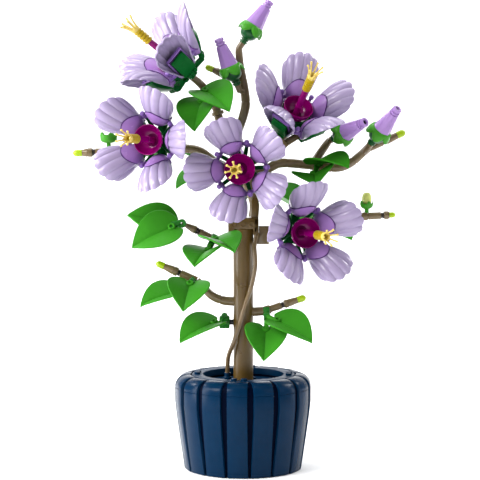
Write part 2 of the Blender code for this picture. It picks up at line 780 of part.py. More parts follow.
def bud_seat(place):
    """A bud's foot and its axis."""
    foot, tip = BUDS[place]
    return foot, Vector(tip) - Vector(foot)


def add_buds(builder):
    cone, calyx = make_bud_cone(), make_bud_calyx()
    for place in BUDS:
        foot, axis = bud_seat(place)
        matrix = frame_on(mm(*foot), axis)
        builder.add(f"bud_{place}_cone", cone, "bud_violet", matrix)
        builder.add(f"bud_{place}_calyx", calyx, "cup_green", matrix)


def spiked_cup(radius, height, spikes):
    """A small green cup whose rim rises in points."""
    profile = [
        (0.0, 2.6), (radius - 1.2, 3.4), (radius - 0.6, height), (radius + 0.4, height),
        (radius, 2.4), (radius * 0.62, 0.4), (1.7, 0.0), (1.7, -3.2), (0.0, -3.2),
    ]
    mesh = made_real(turned([(r * MM, z * MM) for r, z in profile], 2 * spikes))
    for vertex in mesh.vertices:
        x, y, z = vertex.co
        if z > (height - 0.5) * MM:
            point = max(0.0, math.cos(spikes * math.atan2(y, x)))
            vertex.co.z = z - 3.0 * MM * (1.0 - point)
    return mesh


def add_small_buds(builder):
    cup = spiked_cup(5.6, 7.4, 5)
    builder.add("bud_small_left", cup, "cup_green", Matrix.Translation(mm(-107.0, 0.0, 259.7)))
    egg = [
        (0.0, 13.2), (2.4, 12.0), (3.9, 8.6), (3.7, 4.2), (2.6, 1.6), (0.0, 1.6),
    ]
    pieces = [
        piece_of(spiked_cup(5.0, 6.4, 5)),
        turned([(r * MM, z * MM) for r, z in egg], 8),
    ]
    place = Matrix.Translation(mm(98.0, 0.0, 207.4))
    builder.add("bud_small_right", joined(pieces), "bud_lime", place)


# Leaves


def leaf_rise(share):
    """How far the arch lifts a leaf at a share of its length."""
    return 4.0 * LEAF_ARCH * share * (1.0 - share)


def make_blade():
    """A heart-shaped blade folded up along its arched midrib, which runs along the Y axis."""
    length, half_width = LEAF_LENGTH / MM, LEAF_HALF_WIDTH / MM
    outline = [
        (0.0, 0.0), (0.50 * half_width, -3.8), (0.88 * half_width, 2.2),
        (half_width, 10.5), (0.74 * half_width, 24.5), (0.0, length),
    ]
    bm = bmesh.new()
    rib, edge = [], []
    for index, (across, forward) in enumerate(outline):
        on_rib = length * (index / (len(outline) - 1)) ** 1.2
        rib.append(bm.verts.new((0.0, on_rib * MM, leaf_rise(on_rib / length))))
        edge.append(bm.verts.new((
            across * MM * math.cos(LEAF_FOLD),
            forward * MM,
            across * MM * math.sin(LEAF_FOLD) + leaf_rise(forward / length),
        )))
    for index in range(len(outline) - 1):
        corners = [rib[index], edge[index], edge[index + 1], rib[index + 1]]
        bm.faces.new(corners)
    bmesh.ops.remove_doubles(bm, verts=bm.verts, dist=0.001 * MM)
    mesh = bpy.data.meshes.new("blade")
    bm.to_mesh(mesh)
    bm.free()
    obj = piece_of(mesh)
    mirror = obj.modifiers.new("other_wing", "MIRROR")
    mirror.merge_threshold = 0.001 * MM
    wall = obj.modifiers.new("thickness", "SOLIDIFY")
    wall.thickness = LEAF_THICKNESS
    wall.offset = -1.0
    return made_real(obj)


def leaf_frame(base, heading, pitch, roll):
    """A leaf's frame: its heading round Z from +X, its pitch above level and its roll."""
    heading, pitch = math.radians(heading), math.radians(pitch)
    crease = Vector((
        math.cos(pitch) * math.cos(heading), math.cos(pitch) * math.sin(heading), math.sin(pitch),
    ))
    right = Vector((math.sin(heading), -math.cos(heading), 0.0))
    frame = Matrix((right, crease, right.cross(crease))).transposed().to_4x4()
    return Matrix.Translation(mm(*base)) @ frame @ Matrix.Rotation(math.radians(roll), 4, "Y")


def leaf_pieces(blade, holds, leaf):
    """A blade and its stem, which runs from the points that hold it to the blade's underside."""
    frame = leaf_frame(*leaf)
    into = frame @ (mm(0.0, 6.0, -0.9) + Vector((0.0, 0.0, leaf_rise(6.0 * MM / LEAF_LENGTH))))
    radius = STEM_RADIUS / MM
    stem = [(*hold, radius) for hold in holds] + [(*(into / MM), 0.7 * radius)]
    return [piece_of(blade, frame), tube(stem, 0)]


def clip_ring(place, axis, limb_radius):
    """A ring round a limb, clear of it all round."""
    sides = 8
    inner = (limb_radius + GAP) / math.cos(math.pi / sides)
    outer = inner + CLIP_WALL
    half = CLIP_WIDTH / 2
    profile = [(outer, half), (outer, -half), (inner, -half), (inner, half)]
    return turned(profile, sides, frame_on(place, axis))


def leaves_on_ring(blade, bough, stretch, share, leaves):
    """Leaves on a clip round one straight stretch of a bough, at a share of its length."""
    route = bough_route(bough) if len(ROUTES[bough]) > 2 else ROUTES[bough]
    start, end = Vector(route[stretch]), Vector(route[stretch + 1])
    middle = start.lerp(end, share)
    limb_radius = max(start[3], end[3])
    middle, axis = middle.to_3d(), (end - start).to_3d().normalized()
    pieces = [clip_ring(middle * MM, axis, limb_radius * MM)]
    inside = limb_radius + GAP / MM + 0.6 * CLIP_WALL / MM
    outside = inside + 1.2 * CLIP_WALL / MM
    for leaf in leaves:
        towards = Vector(leaf[0]) - middle
        towards = (towards - towards.dot(axis) * axis).normalized()
        holds = [middle + towards * reach for reach in (inside, outside)]
        pieces += leaf_pieces(blade, holds, leaf)
    return joined(pieces)


def leaves_on_stem(blade, foot, head, leaves):
    """Leaves on a short stem whose foot stands clear of what carries it."""
    pieces = [tube([(*foot, 2.4), (*head, 2.4)])]
    for leaf in leaves:
        pieces += leaf_pieces(blade, [Vector(head)], leaf)
    return joined(pieces)


# For each clip its bough, the stretch of its route and the share along it. For each leaf the
# place of its base, then its heading, pitch and roll in degrees.
RING_LEAVES = {
    "top_left": ("upper_left", 8, 0.7, (
        ((-31.2, -18.1, 301.1), -53.4, -24.6, 21.3),
        ((-32.0, -13.5, 293.8), -101.5, -38.5, 10.6),
    )),
    "left": ("left", 1, 0.5, (
        ((-23.5, 11.3, 235.4), 149.7, -18.5, 3.9),
    )),
    "behind_right": ("right", 1, 0.3, (
        ((23.2, 7.4, 221.6), 33.9, -29.9, -15.8),
    )),
    "trunk_left": ("mid_left", 3, 0.4, (
        ((-23.6, -16.7, 184.4), -63.0, -10.0, 4.2),
        ((-26.5, -8.3, 175.8), -108.0, -14.9, 3.9),
    )),
    "low_left": ("low_left", 7, 0.5, (
        ((-41.8, -8.0, 149.0), -98.4, -28.3, -7.6),
        ((-48.9, 4.9, 140.1), -151.3, -12.7, -15.9),
    )),
    "low_stub": ("stub_left", 0, 0.55, (
        ((-20.8, -3.0, 117.4), -145.4, -20.6, -12.8),
    )),
    "low_right": ("low_right", 0, 0.5, (
        ((24.6, -12.3, 120.2), -33.1, -23.4, 19.3),
        ((17.9, -8.7, 113.2), -93.7, -33.6, -6.9),
    )),
    "back_left": ("left", 6, 0.5, (
        ((-41.0, 23.0, 253.1), 70.5, -44.7, 23.8),
        ((-61.3, 15.2, 260.6), 141.1, -20.2, 35.6),
    )),
    "back_right": ("mid_right", 2, 0.5, (
        ((69.8, 7.2, 204.3), 52.7, -37.3, -32.8),
        ((60.1, 13.1, 198.9), 119.1, -21.0, 25.0),
    )),
    "back_centre": ("back", 2, 0.5, (
        ((5.0, 28.0, 217.4), 104.3, 13.6, -37.1),
        ((12.4, 14.0, 225.4), 73.5, 9.5, 16.8),
    )),
}
STEM_LEAVES = {
    "mid_left": ((-50.5, -0.9, 195.2), (-53.6, -2.4, 193.2), (
        ((-54.0, -8.3, 194.1), -169.1, -25.2, -51.2),
        ((-56.9, 12.0, 190.0), -170.5, 19.3, -50.2),
    )),
    "right": ((58.0, -4.2, 241.3), (58.4, -7.6, 242.0), (
        ((57.3, -8.7, 244.0), -51.2, -2.7, 8.4),
        ((55.6, -8.0, 235.6), -89.8, -10.4, 12.1),
    )),
}


def add_leaves(builder):
    blade = make_blade()
    for place, group in RING_LEAVES.items():
        builder.add(f"leaves_{place}", leaves_on_ring(blade, *group), "leaf_green")
    for place, group in STEM_LEAVES.items():
        builder.add(f"leaves_{place}", leaves_on_stem(blade, *group), "leaf_green")


def main():
    clear_scene()
    builder = Builder()
    builder.add("pot_wall", make_pot_wall(), "pot_blue")
    builder.add("pot_floor", make_pot_floor(), "pot_blue")
    builder.add("pot_rim", make_pot_rim(), "pot_blue")
    builder.add("trunk_column", make_trunk_column(), "trunk_tan")
    builder.add("trunk_collar", make_trunk_collar(), "bough_tan")
    builder.add("upper_trunk", make_upper_trunk(), "bough_tan")
    builder.add("arm_right", make_arm_right(), "bough_tan")
    builder.add("vine", make_vine(), "bough_tan")
    boughs = {
        "left": make_bough_left,
        "upper_left": make_bough_upper_left,
        "top": make_bough_top,
        "upper_right": make_bough_upper_right,
        "right": make_bough_right,
        "mid_right": make_bough_mid_right,
        "mid_left": make_bough_mid_left,
        "low_left": make_bough_low_left,
        "low_right": make_bough_low_right,
        "back": make_bough_back,
    }
    for place, make in boughs.items():
        builder.add(f"bough_{place}", make(), "bough_tan")
    builder.add("stub_left", make_stub_left(), "bough_tan")
    add_flowers(builder)
    add_buds(builder)
    add_small_buds(builder)
    add_leaves(builder)


main()
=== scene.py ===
"""The looks of the model hibiscus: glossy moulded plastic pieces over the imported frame.

Points and sizes are millimetres, which Form.made() turns into metres. +Z is up, -Y is the front.
"""
from math import asin, copysign, cos, degrees, exp, pi, radians, sin, sqrt, tau

import bpy
import numpy as np
from mathutils import Matrix, Vector


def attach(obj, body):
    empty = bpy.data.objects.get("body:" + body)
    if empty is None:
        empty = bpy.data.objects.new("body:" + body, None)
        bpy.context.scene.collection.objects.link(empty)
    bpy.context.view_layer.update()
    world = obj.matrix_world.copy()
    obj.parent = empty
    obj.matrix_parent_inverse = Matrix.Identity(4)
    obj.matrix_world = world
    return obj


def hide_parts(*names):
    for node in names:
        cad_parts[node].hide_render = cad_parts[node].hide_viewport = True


MM = 0.001
shift = Matrix.Translation

SPARE = 1

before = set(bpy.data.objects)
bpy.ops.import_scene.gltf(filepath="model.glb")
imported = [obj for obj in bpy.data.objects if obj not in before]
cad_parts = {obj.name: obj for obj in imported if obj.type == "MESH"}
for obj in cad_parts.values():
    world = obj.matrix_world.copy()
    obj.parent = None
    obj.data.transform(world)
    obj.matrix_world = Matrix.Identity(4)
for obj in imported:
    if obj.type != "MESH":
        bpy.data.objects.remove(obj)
scene = bpy.context.scene
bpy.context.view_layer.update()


# Shapes


def moved(shape, matrix):
    """A shape, which is (points, faces), moved by a matrix."""
    points, faces = shape
    matrix = np.array(matrix)
    return points @ matrix[:3, :3].T + matrix[:3, 3], faces


class Form:
    """Closed shapes gathered into one mesh."""

    def __init__(self, *shapes):
        self.points, self.faces, self.count = [], [], 0
        for shape in shapes:
            self.add(shape)

    def add(self, shape, matrix=None):
        points, faces = shape if matrix is None else moved(shape, matrix)
        self.points.append(points)
        self.faces += [[index + self.count for index in face] for face in faces]
        self.count += len(points)

    def shape(self):
        return np.concatenate(self.points), self.faces

    def made(self, name, material, slot, *nodes, sharp=38.0):
        """The object of this form, riding on the root, in place of the CAD nodes."""
        points, faces = self.shape()
        mesh = bpy.data.meshes.new(name)
        mesh.from_pydata((points * MM).tolist(), [], faces)
        mesh.validate()
        mesh.shade_smooth()
        mesh.set_sharp_from_angle(angle=radians(sharp))
        mesh.materials.append(material)
        obj = bpy.data.objects.new(name, mesh)
        scene.collection.objects.link(obj)
        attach(obj, "root")
        if nodes:
            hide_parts(*nodes)


def skin(rows, closed=True, caps=True):
    """Rings of points joined one after another, with their ends filled."""
    rows = np.asarray(rows, float)
    count, size, _ = rows.shape
    faces = []
    for i in range(count - 1):
        for j in range(size if closed else size - 1):
            k = (j + 1) % size
            faces.append([i * size + j, i * size + k, (i + 1) * size + k, (i + 1) * size + j])
    if caps:
        faces.append(list(range(size - 1, -1, -1)))
        faces.append([(count - 1) * size + j for j in range(size)])
    return rows.reshape(-1, 3), faces


def eased(line, radius, steps=3, closed=False):
    """A 2D line with each of its corners rounded off."""
    line = [np.array(point, float) for point in line]
    found = []
    for index, point in enumerate(line):
        if not closed and index in (0, len(line) - 1):
            found.append(point)
            continue
        before, after = line[index - 1] - point, line[(index + 1) % len(line)] - point
        a, b = np.linalg.norm(before), np.linalg.norm(after)
        cut = min(radius, 0.45 * a, 0.45 * b)
        start, end = point + before / a * cut, point + after / b * cut
        for step in range(steps + 1):
            t = step / steps
            found.append((1 - t) ** 2 * start + 2 * t * (1 - t) * point + t**2 * end)
    return np.array(found)


def oblong(left, right, low, high):
    """The corners of a rectangle, as a profile or an outline."""
    return [(left, low), (right, low), (right, high), (left, high)]


def around(sides):
    """The angles of the points of a ring."""
    return np.arange(sides) * tau / sides


def sweep(start, end, count):
    """Angles from one to another, both given in degrees."""
    return np.radians(np.linspace(start, end, count))


def polar(radius, angle, height=0.0):
    """A point at a radius from +Z."""
    return np.array((radius * cos(angle), radius * sin(angle), height))


def circle(radius, height, angles):
    """A ring of points round +Z. Radius and height are numbers, or hold one value for each angle."""
    return np.stack([radius * np.cos(angles), radius * np.sin(angles), height + 0.0 * angles], axis=1)


def turned(profile, sides=32, ease=0.0):
    """A solid of revolution, from a profile of (radius, height) that runs upwards outside."""
    profile = eased(profile, ease) if ease else profile
    return skin([circle(radius, height, around(sides)) for radius, height in profile])


def ring(profile, sides=32, ease=0.0):
    """A closed ring, from a closed profile of (radius, height) that runs upwards outside."""
    profile = eased(profile, ease, closed=True) if ease else profile
    rows = [circle(radius, height, around(sides)) for radius, height in profile]
    points, faces = skin([*rows, rows[0]], caps=False)
    size = len(rows) * sides
    return points[:size], [[index % size for index in face] for face in faces]


def smooth(stations, per_span=6):
    """More stations on a smooth curve through the given ones."""
    rows = [np.array(station, float) for station in stations]
    rows = [2 * rows[0] - rows[1], *rows, 2 * rows[-1] - rows[-2]]
    found = []
    for before, start, end, after in zip(rows, rows[1:], rows[2:], rows[3:]):
        for step in range(per_span):
            t = step / per_span
            found.append(0.5 * (
                2 * start
                + (end - before) * t
                + (2 * before - 5 * start + 4 * end - after) * t**2
                + (3 * start - before - 3 * end + after) * t**3
            ))
    found.append(rows[-2])
    return found


# A direction that no limb starts along
ASKEW = (0.31, 0.17, 0.93)


def tube(stations, sides=20):
    """A limb through stations of (x, y, z, radius)."""
    stations = np.array([tuple(station) for station in stations], float)
    places, radii = stations[:, :3], stations[:, 3]
    courses = np.gradient(places, axis=0)
    courses /= np.linalg.norm(courses, axis=1)[:, None] + 1e-12
    side = np.cross(courses[0], ASKEW)
    side /= np.linalg.norm(side)
    angles = around(sides)
    rows = []
    for place, forward, radius in zip(places, courses, radii):
        side = side - side.dot(forward) * forward
        side /= np.linalg.norm(side)
        other = np.cross(forward, side)
        rows.append(place + radius * (np.outer(np.cos(angles), side) + np.outer(np.sin(angles), other)))
    return skin(rows)


def straight(start, unit, line, sides):
    """A straight limb along a unit direction, from a line of (distance, radius)."""
    return tube([(*(start + unit * distance), radius) for distance, radius in line], sides)


def along(start, end, profile, sides=20, ease=0.0):
    """A straight limb, from a profile of (share of its length, radius)."""
    start, end = np.array(start, float), np.array(end, float)
    length = np.linalg.norm(end - start)
    line = [(share * length, radius) for share, radius in profile]
    if ease:
        line = eased(line, ease)
    return straight(start, (end - start) / length, line, sides)


def plate(outline, thickness, bevel=0.3, ease=0.8, steps=3):
    """A flat plate in the XY plane with rounded corners and edges."""
    line = eased(outline, ease, steps, closed=True)
    ahead, behind = np.roll(line, -1, axis=0) - line, line - np.roll(line, 1, axis=0)
    normal = np.stack([ahead[:, 1] + behind[:, 1], -ahead[:, 0] - behind[:, 0]], axis=1)
    normal /= np.linalg.norm(normal, axis=1)[:, None] + 1e-12
    area = 0.5 * np.sum(line[:, 0] * np.roll(line[:, 1], -1) - np.roll(line[:, 0], -1) * line[:, 1])
    if area < 0:
        line, normal = line[::-1], -normal[::-1]
    half = thickness / 2
    rows = []
    for inset, height in ((bevel, -half), (0.3 * bevel, -half + 0.3 * bevel), (0.0, -half + bevel),
                          (0.0, half - bevel), (0.3 * bevel, half - 0.3 * bevel), (bevel, half)):
        flat = line - normal * inset
        rows.append(np.column_stack([flat, np.full(len(flat), height)]))
    return skin(rows)


def shell(grid, thickness, edge=0.35):
    """A sheet of points given a thickness on its back, with a rounded border."""
    grid = np.asarray(grid, float)
    count, size, _ = grid.shape
    normal = np.cross(np.gradient(grid, axis=1), np.gradient(grid, axis=0))
    normal /= np.linalg.norm(normal, axis=2)[:, :, None] + 1e-12
    back = grid - normal * thickness
    rim = [(0, j) for j in range(size)] + [(i, size - 1) for i in range(1, count)]
    rim += [(count - 1, j) for j in range(size - 2, -1, -1)] + [(i, 0) for i in range(count - 2, 0, -1)]
    inside = np.clip(np.array(rim), 1, np.array([count, size]) - 2)
    rows, columns = np.array(rim).T
    out = grid[rows, columns] - grid[inside[:, 0], inside[:, 1]]
    out /= np.linalg.norm(out, axis=1)[:, None] + 1e-12
    middle = (grid[rows, columns] + back[rows, columns]) / 2 + out * thickness * edge
    points = np.concatenate([grid.reshape(-1, 3), back.reshape(-1, 3), middle])
    faces = []
    total = count * size
    for i in range(count - 1):
        for j in range(size - 1):
            face = [i * size + j, i * size + j + 1, (i + 1) * size + j + 1, (i + 1) * size + j]
            faces.append(face)
            faces.append([index + total for index in reversed(face)])
    for index, (i, j) in enumerate(rim):
        after = (index + 1) % len(rim)
        here, there = i * size + j, rim[after][0] * size + rim[after][1]
        bead, next_bead = 2 * total + index, 2 * total + after
        faces.append([there, here, bead, next_bead])
        faces.append([next_bead, bead, here + total, there + total])
    return points, faces


def frame_on(place, axis, turn=0.0):
    """A frame at a place with +Z along axis, +X level, turned about its own +Z by degrees."""
    forward = Vector(axis).normalized()
    level = Vector((0.0, 0.0, 1.0)).cross(forward)
    level = level.normalized() if level.length > 1e-6 else Vector((1.0, 0.0, 0.0))
    rest = Matrix((level, forward.cross(level), forward)).transposed().to_4x4()
    return shift(place) @ rest @ Matrix.Rotation(radians(turn), 4, "Z")


def turn_z(angle):
    return Matrix.Rotation(radians(angle), 4, "Z")


# Stands a plate up, so that its outline of (x, y) is one of (x, z)
UPRIGHT = Matrix.Rotation(radians(90.0), 4, "X")


# Materials


def plastic(name, colour, roughness, gloss=0.3, shade=0.16, bump=0.03, grain=90.0, subsurface=0.0):
    """Glossy moulded plastic: a faintly mottled colour, uneven polish and a fine moulded skin.

    The colour is in 0 to 255 screen values.
    """
    colour = [((v / 255 + 0.055) / 1.055) ** 2.4 if v > 10 else v / 255 / 12.92 for v in colour]
    material = bpy.data.materials.new(f"{name}_plastic")
    material.use_nodes = True
    nodes, links = material.node_tree.nodes, material.node_tree.links
    shader = nodes["Principled BSDF"]
    shader.inputs["Specular IOR Level"].default_value = gloss
    if subsurface:
        shader.inputs["Subsurface Weight"].default_value = subsurface
        shader.inputs["Subsurface Scale"].default_value = 0.003
        shader.inputs["Subsurface Radius"].default_value = (1.0, 0.8, 1.0)
    place = nodes.new("ShaderNodeTexCoord")

    def noise(scale, detail):
        node = nodes.new("ShaderNodeTexNoise")
        node.inputs["Scale"].default_value = scale
        node.inputs["Detail"].default_value = detail
        links.new(place.outputs["Object"], node.inputs["Vector"])
        return node

    soft = noise(grain, 3.0)
    tone = nodes.new("ShaderNodeMix")
    tone.data_type = "RGBA"
    tone.inputs["A"].default_value = (*[channel * (1.0 - shade) for channel in colour], 1.0)
    tone.inputs["B"].default_value = (*[min(1.0, channel * (1.0 + 0.6 * shade)) for channel in colour], 1.0)
    links.new(soft.outputs["Fac"], tone.inputs["Factor"])
    links.new(tone.outputs["Result"], shader.inputs["Base Color"])
    polish = nodes.new("ShaderNodeMapRange")
    polish.inputs["To Min"].default_value = roughness - 0.05
    polish.inputs["To Max"].default_value = roughness + 0.08
    links.new(soft.outputs["Fac"], polish.inputs["Value"])
    links.new(polish.outputs["Result"], shader.inputs["Roughness"])
    fine = noise(grain * 9, 2.0)
    relief = nodes.new("ShaderNodeBump")
    relief.inputs["Strength"].default_value = bump
    relief.inputs["Distance"].default_value = 0.0004
    links.new(fine.outputs["Fac"], relief.inputs["Height"])
    links.new(relief.outputs["Normal"], shader.inputs["Normal"])
    return material


# Each with its colour, its roughness and its gloss
POT = plastic("pot", (2, 35, 62), 0.22, 0.07)
RIM = plastic("pot_rim", (4, 37, 64), 0.32, 0.04)
# Near black in place of the pot's blue, on the core and on the strips in its grooves: painted shade
POT_PAINTED_SHADE = plastic("pot_core_painted_shade", (0, 6, 26), 0.5, 0.02)
BOUGH = plastic("bough", (108, 91, 64), 0.22, 0.44)
TRUNK = plastic("trunk", (88, 67, 28), 0.28, 0.36)
VINE = plastic("vine", (112, 92, 66), 0.18, 0.45)
PETAL = plastic("petal", (150, 137, 170), 0.22, 0.5, shade=0.06, subsurface=0.05)
CAP = plastic("cap", (152, 116, 180), 0.24, 0.4, shade=0.1)
JOINT = plastic("joint", (122, 90, 160), 0.3, 0.2)
DISH = plastic("dish", (124, 0, 92), 0.13, 0.22)
SLEEVE = plastic("sleeve", (162, 137, 3), 0.28, shade=0.1)
STALK = plastic("stalk", (204, 180, 92), 0.32, shade=0.08)
CALYX = plastic("calyx", (10, 84, 34), 0.34, 0.04)
CUP = plastic("cup", (58, 132, 34), 0.24, 0.14)
BOWL = plastic("bowl", (16, 78, 36), 0.28, 0.25)
BUD = plastic("bud", (145, 111, 173), 0.2, 0.4, shade=0.08)
LEAF = plastic("leaf", (53, 129, 32), 0.3, 0.035, shade=0.12)
SHADED_LEAF = plastic("shaded_leaf", (46, 118, 28), 0.4, 0.0, shade=0.12)
LEAF_CLIP = plastic("leaf_clip", (36, 112, 36), 0.26, 0.2)
# Dark brown: painted shade in the grooves of the twigs
GAP_SHADE = plastic("gap_shade", (40, 32, 26), 0.3, 0.3)
LIME = plastic("lime", (148, 176, 14), 0.24, 0.35, shade=0.1)
EGG = plastic("egg", (196, 204, 112), 0.28, shade=0.08)
STUB = plastic("stub", (44, 48, 56), 0.24)
# Dark purple: painted shade in the seam round each petal cap
CAP_EDGE_SHADE = plastic("seam", (70, 36, 100), 0.3, 0.2)
# Dark magenta: painted shade in the bottom of each flower's dish
DISH_SHADE = plastic("dish_shade", (80, 0, 58), 0.5, 0.02)
# Near black: painted shade in the holes at the ends of the buds
HOLE_SHADE = plastic("hole_shade", (10, 6, 14), 0.5, 0.05)


# Pot

POT_HEIGHT, POT_BASE, STAVES, STAVE_TURN = 75.5, 6.4, 16, -5.3
STAVE_RADIUS, STAVE_FOOT_RADIUS, STAVE_STRAIGHT_FROM, STAVE_ROUNDING = 54.0, 46.4, 54.0, 9.5
JOINT_DEPTH, JOINT_WIDTH, STAVE_WIDTH, LIP_RADIUS, RIM_THICKNESS = 5.0, 8.4, 15.9, 41.9, 5.0
FLOOR_RADIUS, FLOOR_FOOT, FLOOR_TOP = 32.7, 65.8, 69.0
STUD_RADIUS, STUD_PITCH, RIM_STUDS_RADIUS, FLOOR_STUDS_RADIUS = 2.4, 8.0, 36.6, 17.0


def stave_radius(height):
    """How far out a stave's face is at a height, flat above and drawn in towards the foot."""
    down = max(0.0, 1.0 - height / STAVE_STRAIGHT_FROM)
    return STAVE_RADIUS - (STAVE_RADIUS - STAVE_FOOT_RADIUS) * down**1.15


def stud(foot, top, sides, radius, offset, angle):
    """A stud at a radius and at an offset square to it, turned round the pot's axis."""
    turn = radians(angle)
    place = shift((radius * cos(turn) - offset * sin(turn),
                   radius * sin(turn) + offset * cos(turn), 0.0))
    return moved(turned(oblong(0.0, STUD_RADIUS, foot, top), sides, 0.3), place)


def make_staves():
    """The staves, and the dark strips of painted shade that show between them."""
    foot = 0.4
    head = [
        (STAVE_RADIUS - STAVE_ROUNDING * (1 - cos(turn)),
         POT_HEIGHT - STAVE_ROUNDING * (1 - sin(turn)))
        for turn in sweep(90.0, 0.0, 9)
    ]
    seam = POT_HEIGHT - STAVE_ROUNDING
    groove = [(STAVE_RADIUS, seam - 0.2), (STAVE_RADIUS - 0.45, seam - 0.45), (STAVE_RADIUS, seam - 0.7)]
    face = [(stave_radius(height), height) for height in (54.0, 46.0, 38.0, 30.0, 22.0, 14.0, 7.0, foot)]
    ledge = POT_HEIGHT - RIM_THICKNESS
    inner = [(stave_radius(foot) - 10.0, foot), (LIP_RADIUS, ledge), (LIP_RADIUS, POT_HEIGHT)]
    stave = plate(head + groove + face + inner, STAVE_WIDTH, bevel=0.4, ease=0.25, steps=2)
    set_back = [(radius - 1.7, height) for radius, height in face[::-1] + head[::-1]]
    # A dark strip set back in each groove, which hides the staves' lit sides: painted shade
    joint = plate([
        (stave_radius(foot) - 8.0, 0.8), *set_back,
        (LIP_RADIUS + 0.4, POT_HEIGHT - 1.6), (LIP_RADIUS + 0.4, ledge),
    ], JOINT_WIDTH, bevel=0.2, ease=0.2, steps=2)

    staves, shade_strips = Form(), Form()
    for index in range(STAVES):
        staves.add(stave, turn_z(STAVE_TURN + 360.0 * index / STAVES) @ UPRIGHT)
        shade_strips.add(joint, turn_z(STAVE_TURN + 360.0 * (index + 0.5) / STAVES) @ UPRIGHT)
    staves.made("pot_staves", POT, "pot_blue", "pot_wall", sharp=30.0)
    shade_strips.made("pot_joints", POT_PAINTED_SHADE, "pot_blue")


def make_pot():
    make_staves()
    side = [(stave_radius(height) - JOINT_DEPTH, height) for height in (0.3, 7.0, 20.0, 38.0, 54.0)]
    wall = side + [(STAVE_RADIUS - JOINT_DEPTH, POT_HEIGHT - STAVE_ROUNDING), (42.2, POT_HEIGHT - 1.2),
                   (41.4, POT_HEIGHT - 1.2), (41.4, POT_HEIGHT - 5.4), (33.0, POT_HEIGHT - 5.4),
                   (33.0, 65.4), (30.0, 65.4), (30.0, POT_BASE)]
    # The core, in near-black painted shade
    Form(turned([(0.0, 0.3), *wall, (0.0, POT_BASE)], 64)).made("pot_core_painted_shade", POT_PAINTED_SHADE, "pot_blue")

    low = FLOOR_TOP - 0.1
    floor = Form(ring(oblong(8.4, FLOOR_RADIUS, FLOOR_FOOT, FLOOR_TOP), 64, 0.35),
                 ring(oblong(22.0, 23.6, low, FLOOR_TOP + 0.35), 64, 0.15))
    for index in range(8):
        floor.add(stud(low, 70.5, 24, FLOOR_STUDS_RADIUS, 0.0, STAVE_TURN + 22.5 + 45.0 * index))
    floor.made("pot_floor_disc", RIM, "pot_blue", "pot_floor")

    rim = Form(ring(oblong(32.3, 41.0, 70.5, POT_HEIGHT), 96, 0.35))
    for quarter in range(4):
        for offset in (-STUD_PITCH / 2, STUD_PITCH / 2):
            rim.add(stud(75.3, 77.15, 28, RIM_STUDS_RADIUS, offset, STAVE_TURN + 90.0 * quarter))
    rim.made("pot_rim_ring", RIM, "pot_blue", "pot_rim")


# Trunk

TRUNK_RADIUS, TRUNK_FOOT, TRUNK_TOP = 8.0, 6.8, 192.0
VINE_RADIUS = 1.8
VINE_ROUTE = (
    (10.3, -6.3, 186.8), (8.8, -9.2, 178.0), (9.5, -10.0, 163.0), (6.5, -10.2, 147.0), (2.9, -10.4, 136.0),
    (-1.0, -10.6, 123.0), (-7.2, -9.6, 103.0), (-11.8, -4.0, 90.0), (-12.6, -0.2, 77.0), (-12.6, 0.0, 69.6),
)

# The control stations of each bough, as (x, y, z, radius), from its foot outwards
ROUTES = {
    "left": (
        (-10.2, 0.0, 239.6, 3.8), (-20.8, 0.0, 243.0, 3.7), (-33.5, 0.0, 252.6, 3.6),
        (-45.7, 0.0, 255.3, 3.5), (-65.0, 0.0, 254.8, 3.3), (-108.0, 0.0, 252.8, 3.2),
    ),
    "upper_left": (
        (-7.6, -3.6, 250.4, 3.3), (-12.5, -3.2, 259.5, 3.4), (-18.0, -2.0, 274.5, 3.4),
        (-21.6, -2.2, 287.5, 3.4), (-28.0, -6.3, 299.0, 3.2), (-33.2, -10.2, 305.6, 3.1),
    ),
    "top": (
        (-4.4, 3.8, 249.9, 3.4), (-6.0, 3.4, 257.5, 3.4), (-4.2, 2.0, 268.5, 3.5),
        (-0.6, 0.6, 279.0, 3.6), (1.9, 0.0, 290.5, 3.6), (0.4, 0.0, 305.0, 3.4),
        (-2.4, 0.0, 320.0, 3.1), (-3.4, 0.0, 331.0, 2.9),
    ),
    "upper_right": (
        (6.4, 2.2, 244.5, 3.2), (17.0, 4.0, 251.0, 3.2), (28.0, 6.0, 260.0, 3.2),
    ),
    "right": (
        (7.9, 0.0, 235.5, 3.7), (16.5, 0.0, 237.0, 3.7), (23.0, 0.0, 241.3, 3.7),
        (30.0, 0.0, 243.8, 3.7), (43.0, 0.0, 243.2, 3.6), (62.0, 0.0, 241.0, 3.6),
        (75.0, 0.0, 240.2, 3.5), (83.5, 0.0, 243.0, 3.4), (91.0, 0.0, 248.5, 3.3),
    ),
    "mid_right": (
        (45.4, 0.0, 191.0, 3.0), (58.0, 0.0, 196.0, 3.0), (72.0, 0.0, 200.6, 3.0),
        (91.0, 0.0, 201.2, 3.0),
    ),
    "mid_left": ((-7.6, 0.0, 176.8, 3.0), (-20.0, 0.0, 181.5, 3.0), (-34.0, 0.0, 188.6, 3.0)),
    "low_left": (
        (-7.2, 0.0, 133.5, 3.7), (-16.0, 0.0, 134.4, 3.6), (-25.0, 0.0, 138.2, 3.4),
        (-32.0, 0.0, 145.2, 3.3), (-37.0, 0.0, 150.3, 3.3),
    ),
    "low_right": ((7.2, 0.0, 125.2, 3.7), (17.0, 0.0, 125.9, 3.6)),
    "back": ((8.5, 6.6, 216.2, 2.9), (7.0, 16.0, 219.0, 2.9), (3.0, 27.0, 226.0, 2.9)),
    "stub_left": ((-7.4, 0.0, 117.0, 2.2), (-18.5, 0.0, 117.0, 2.2)),
}

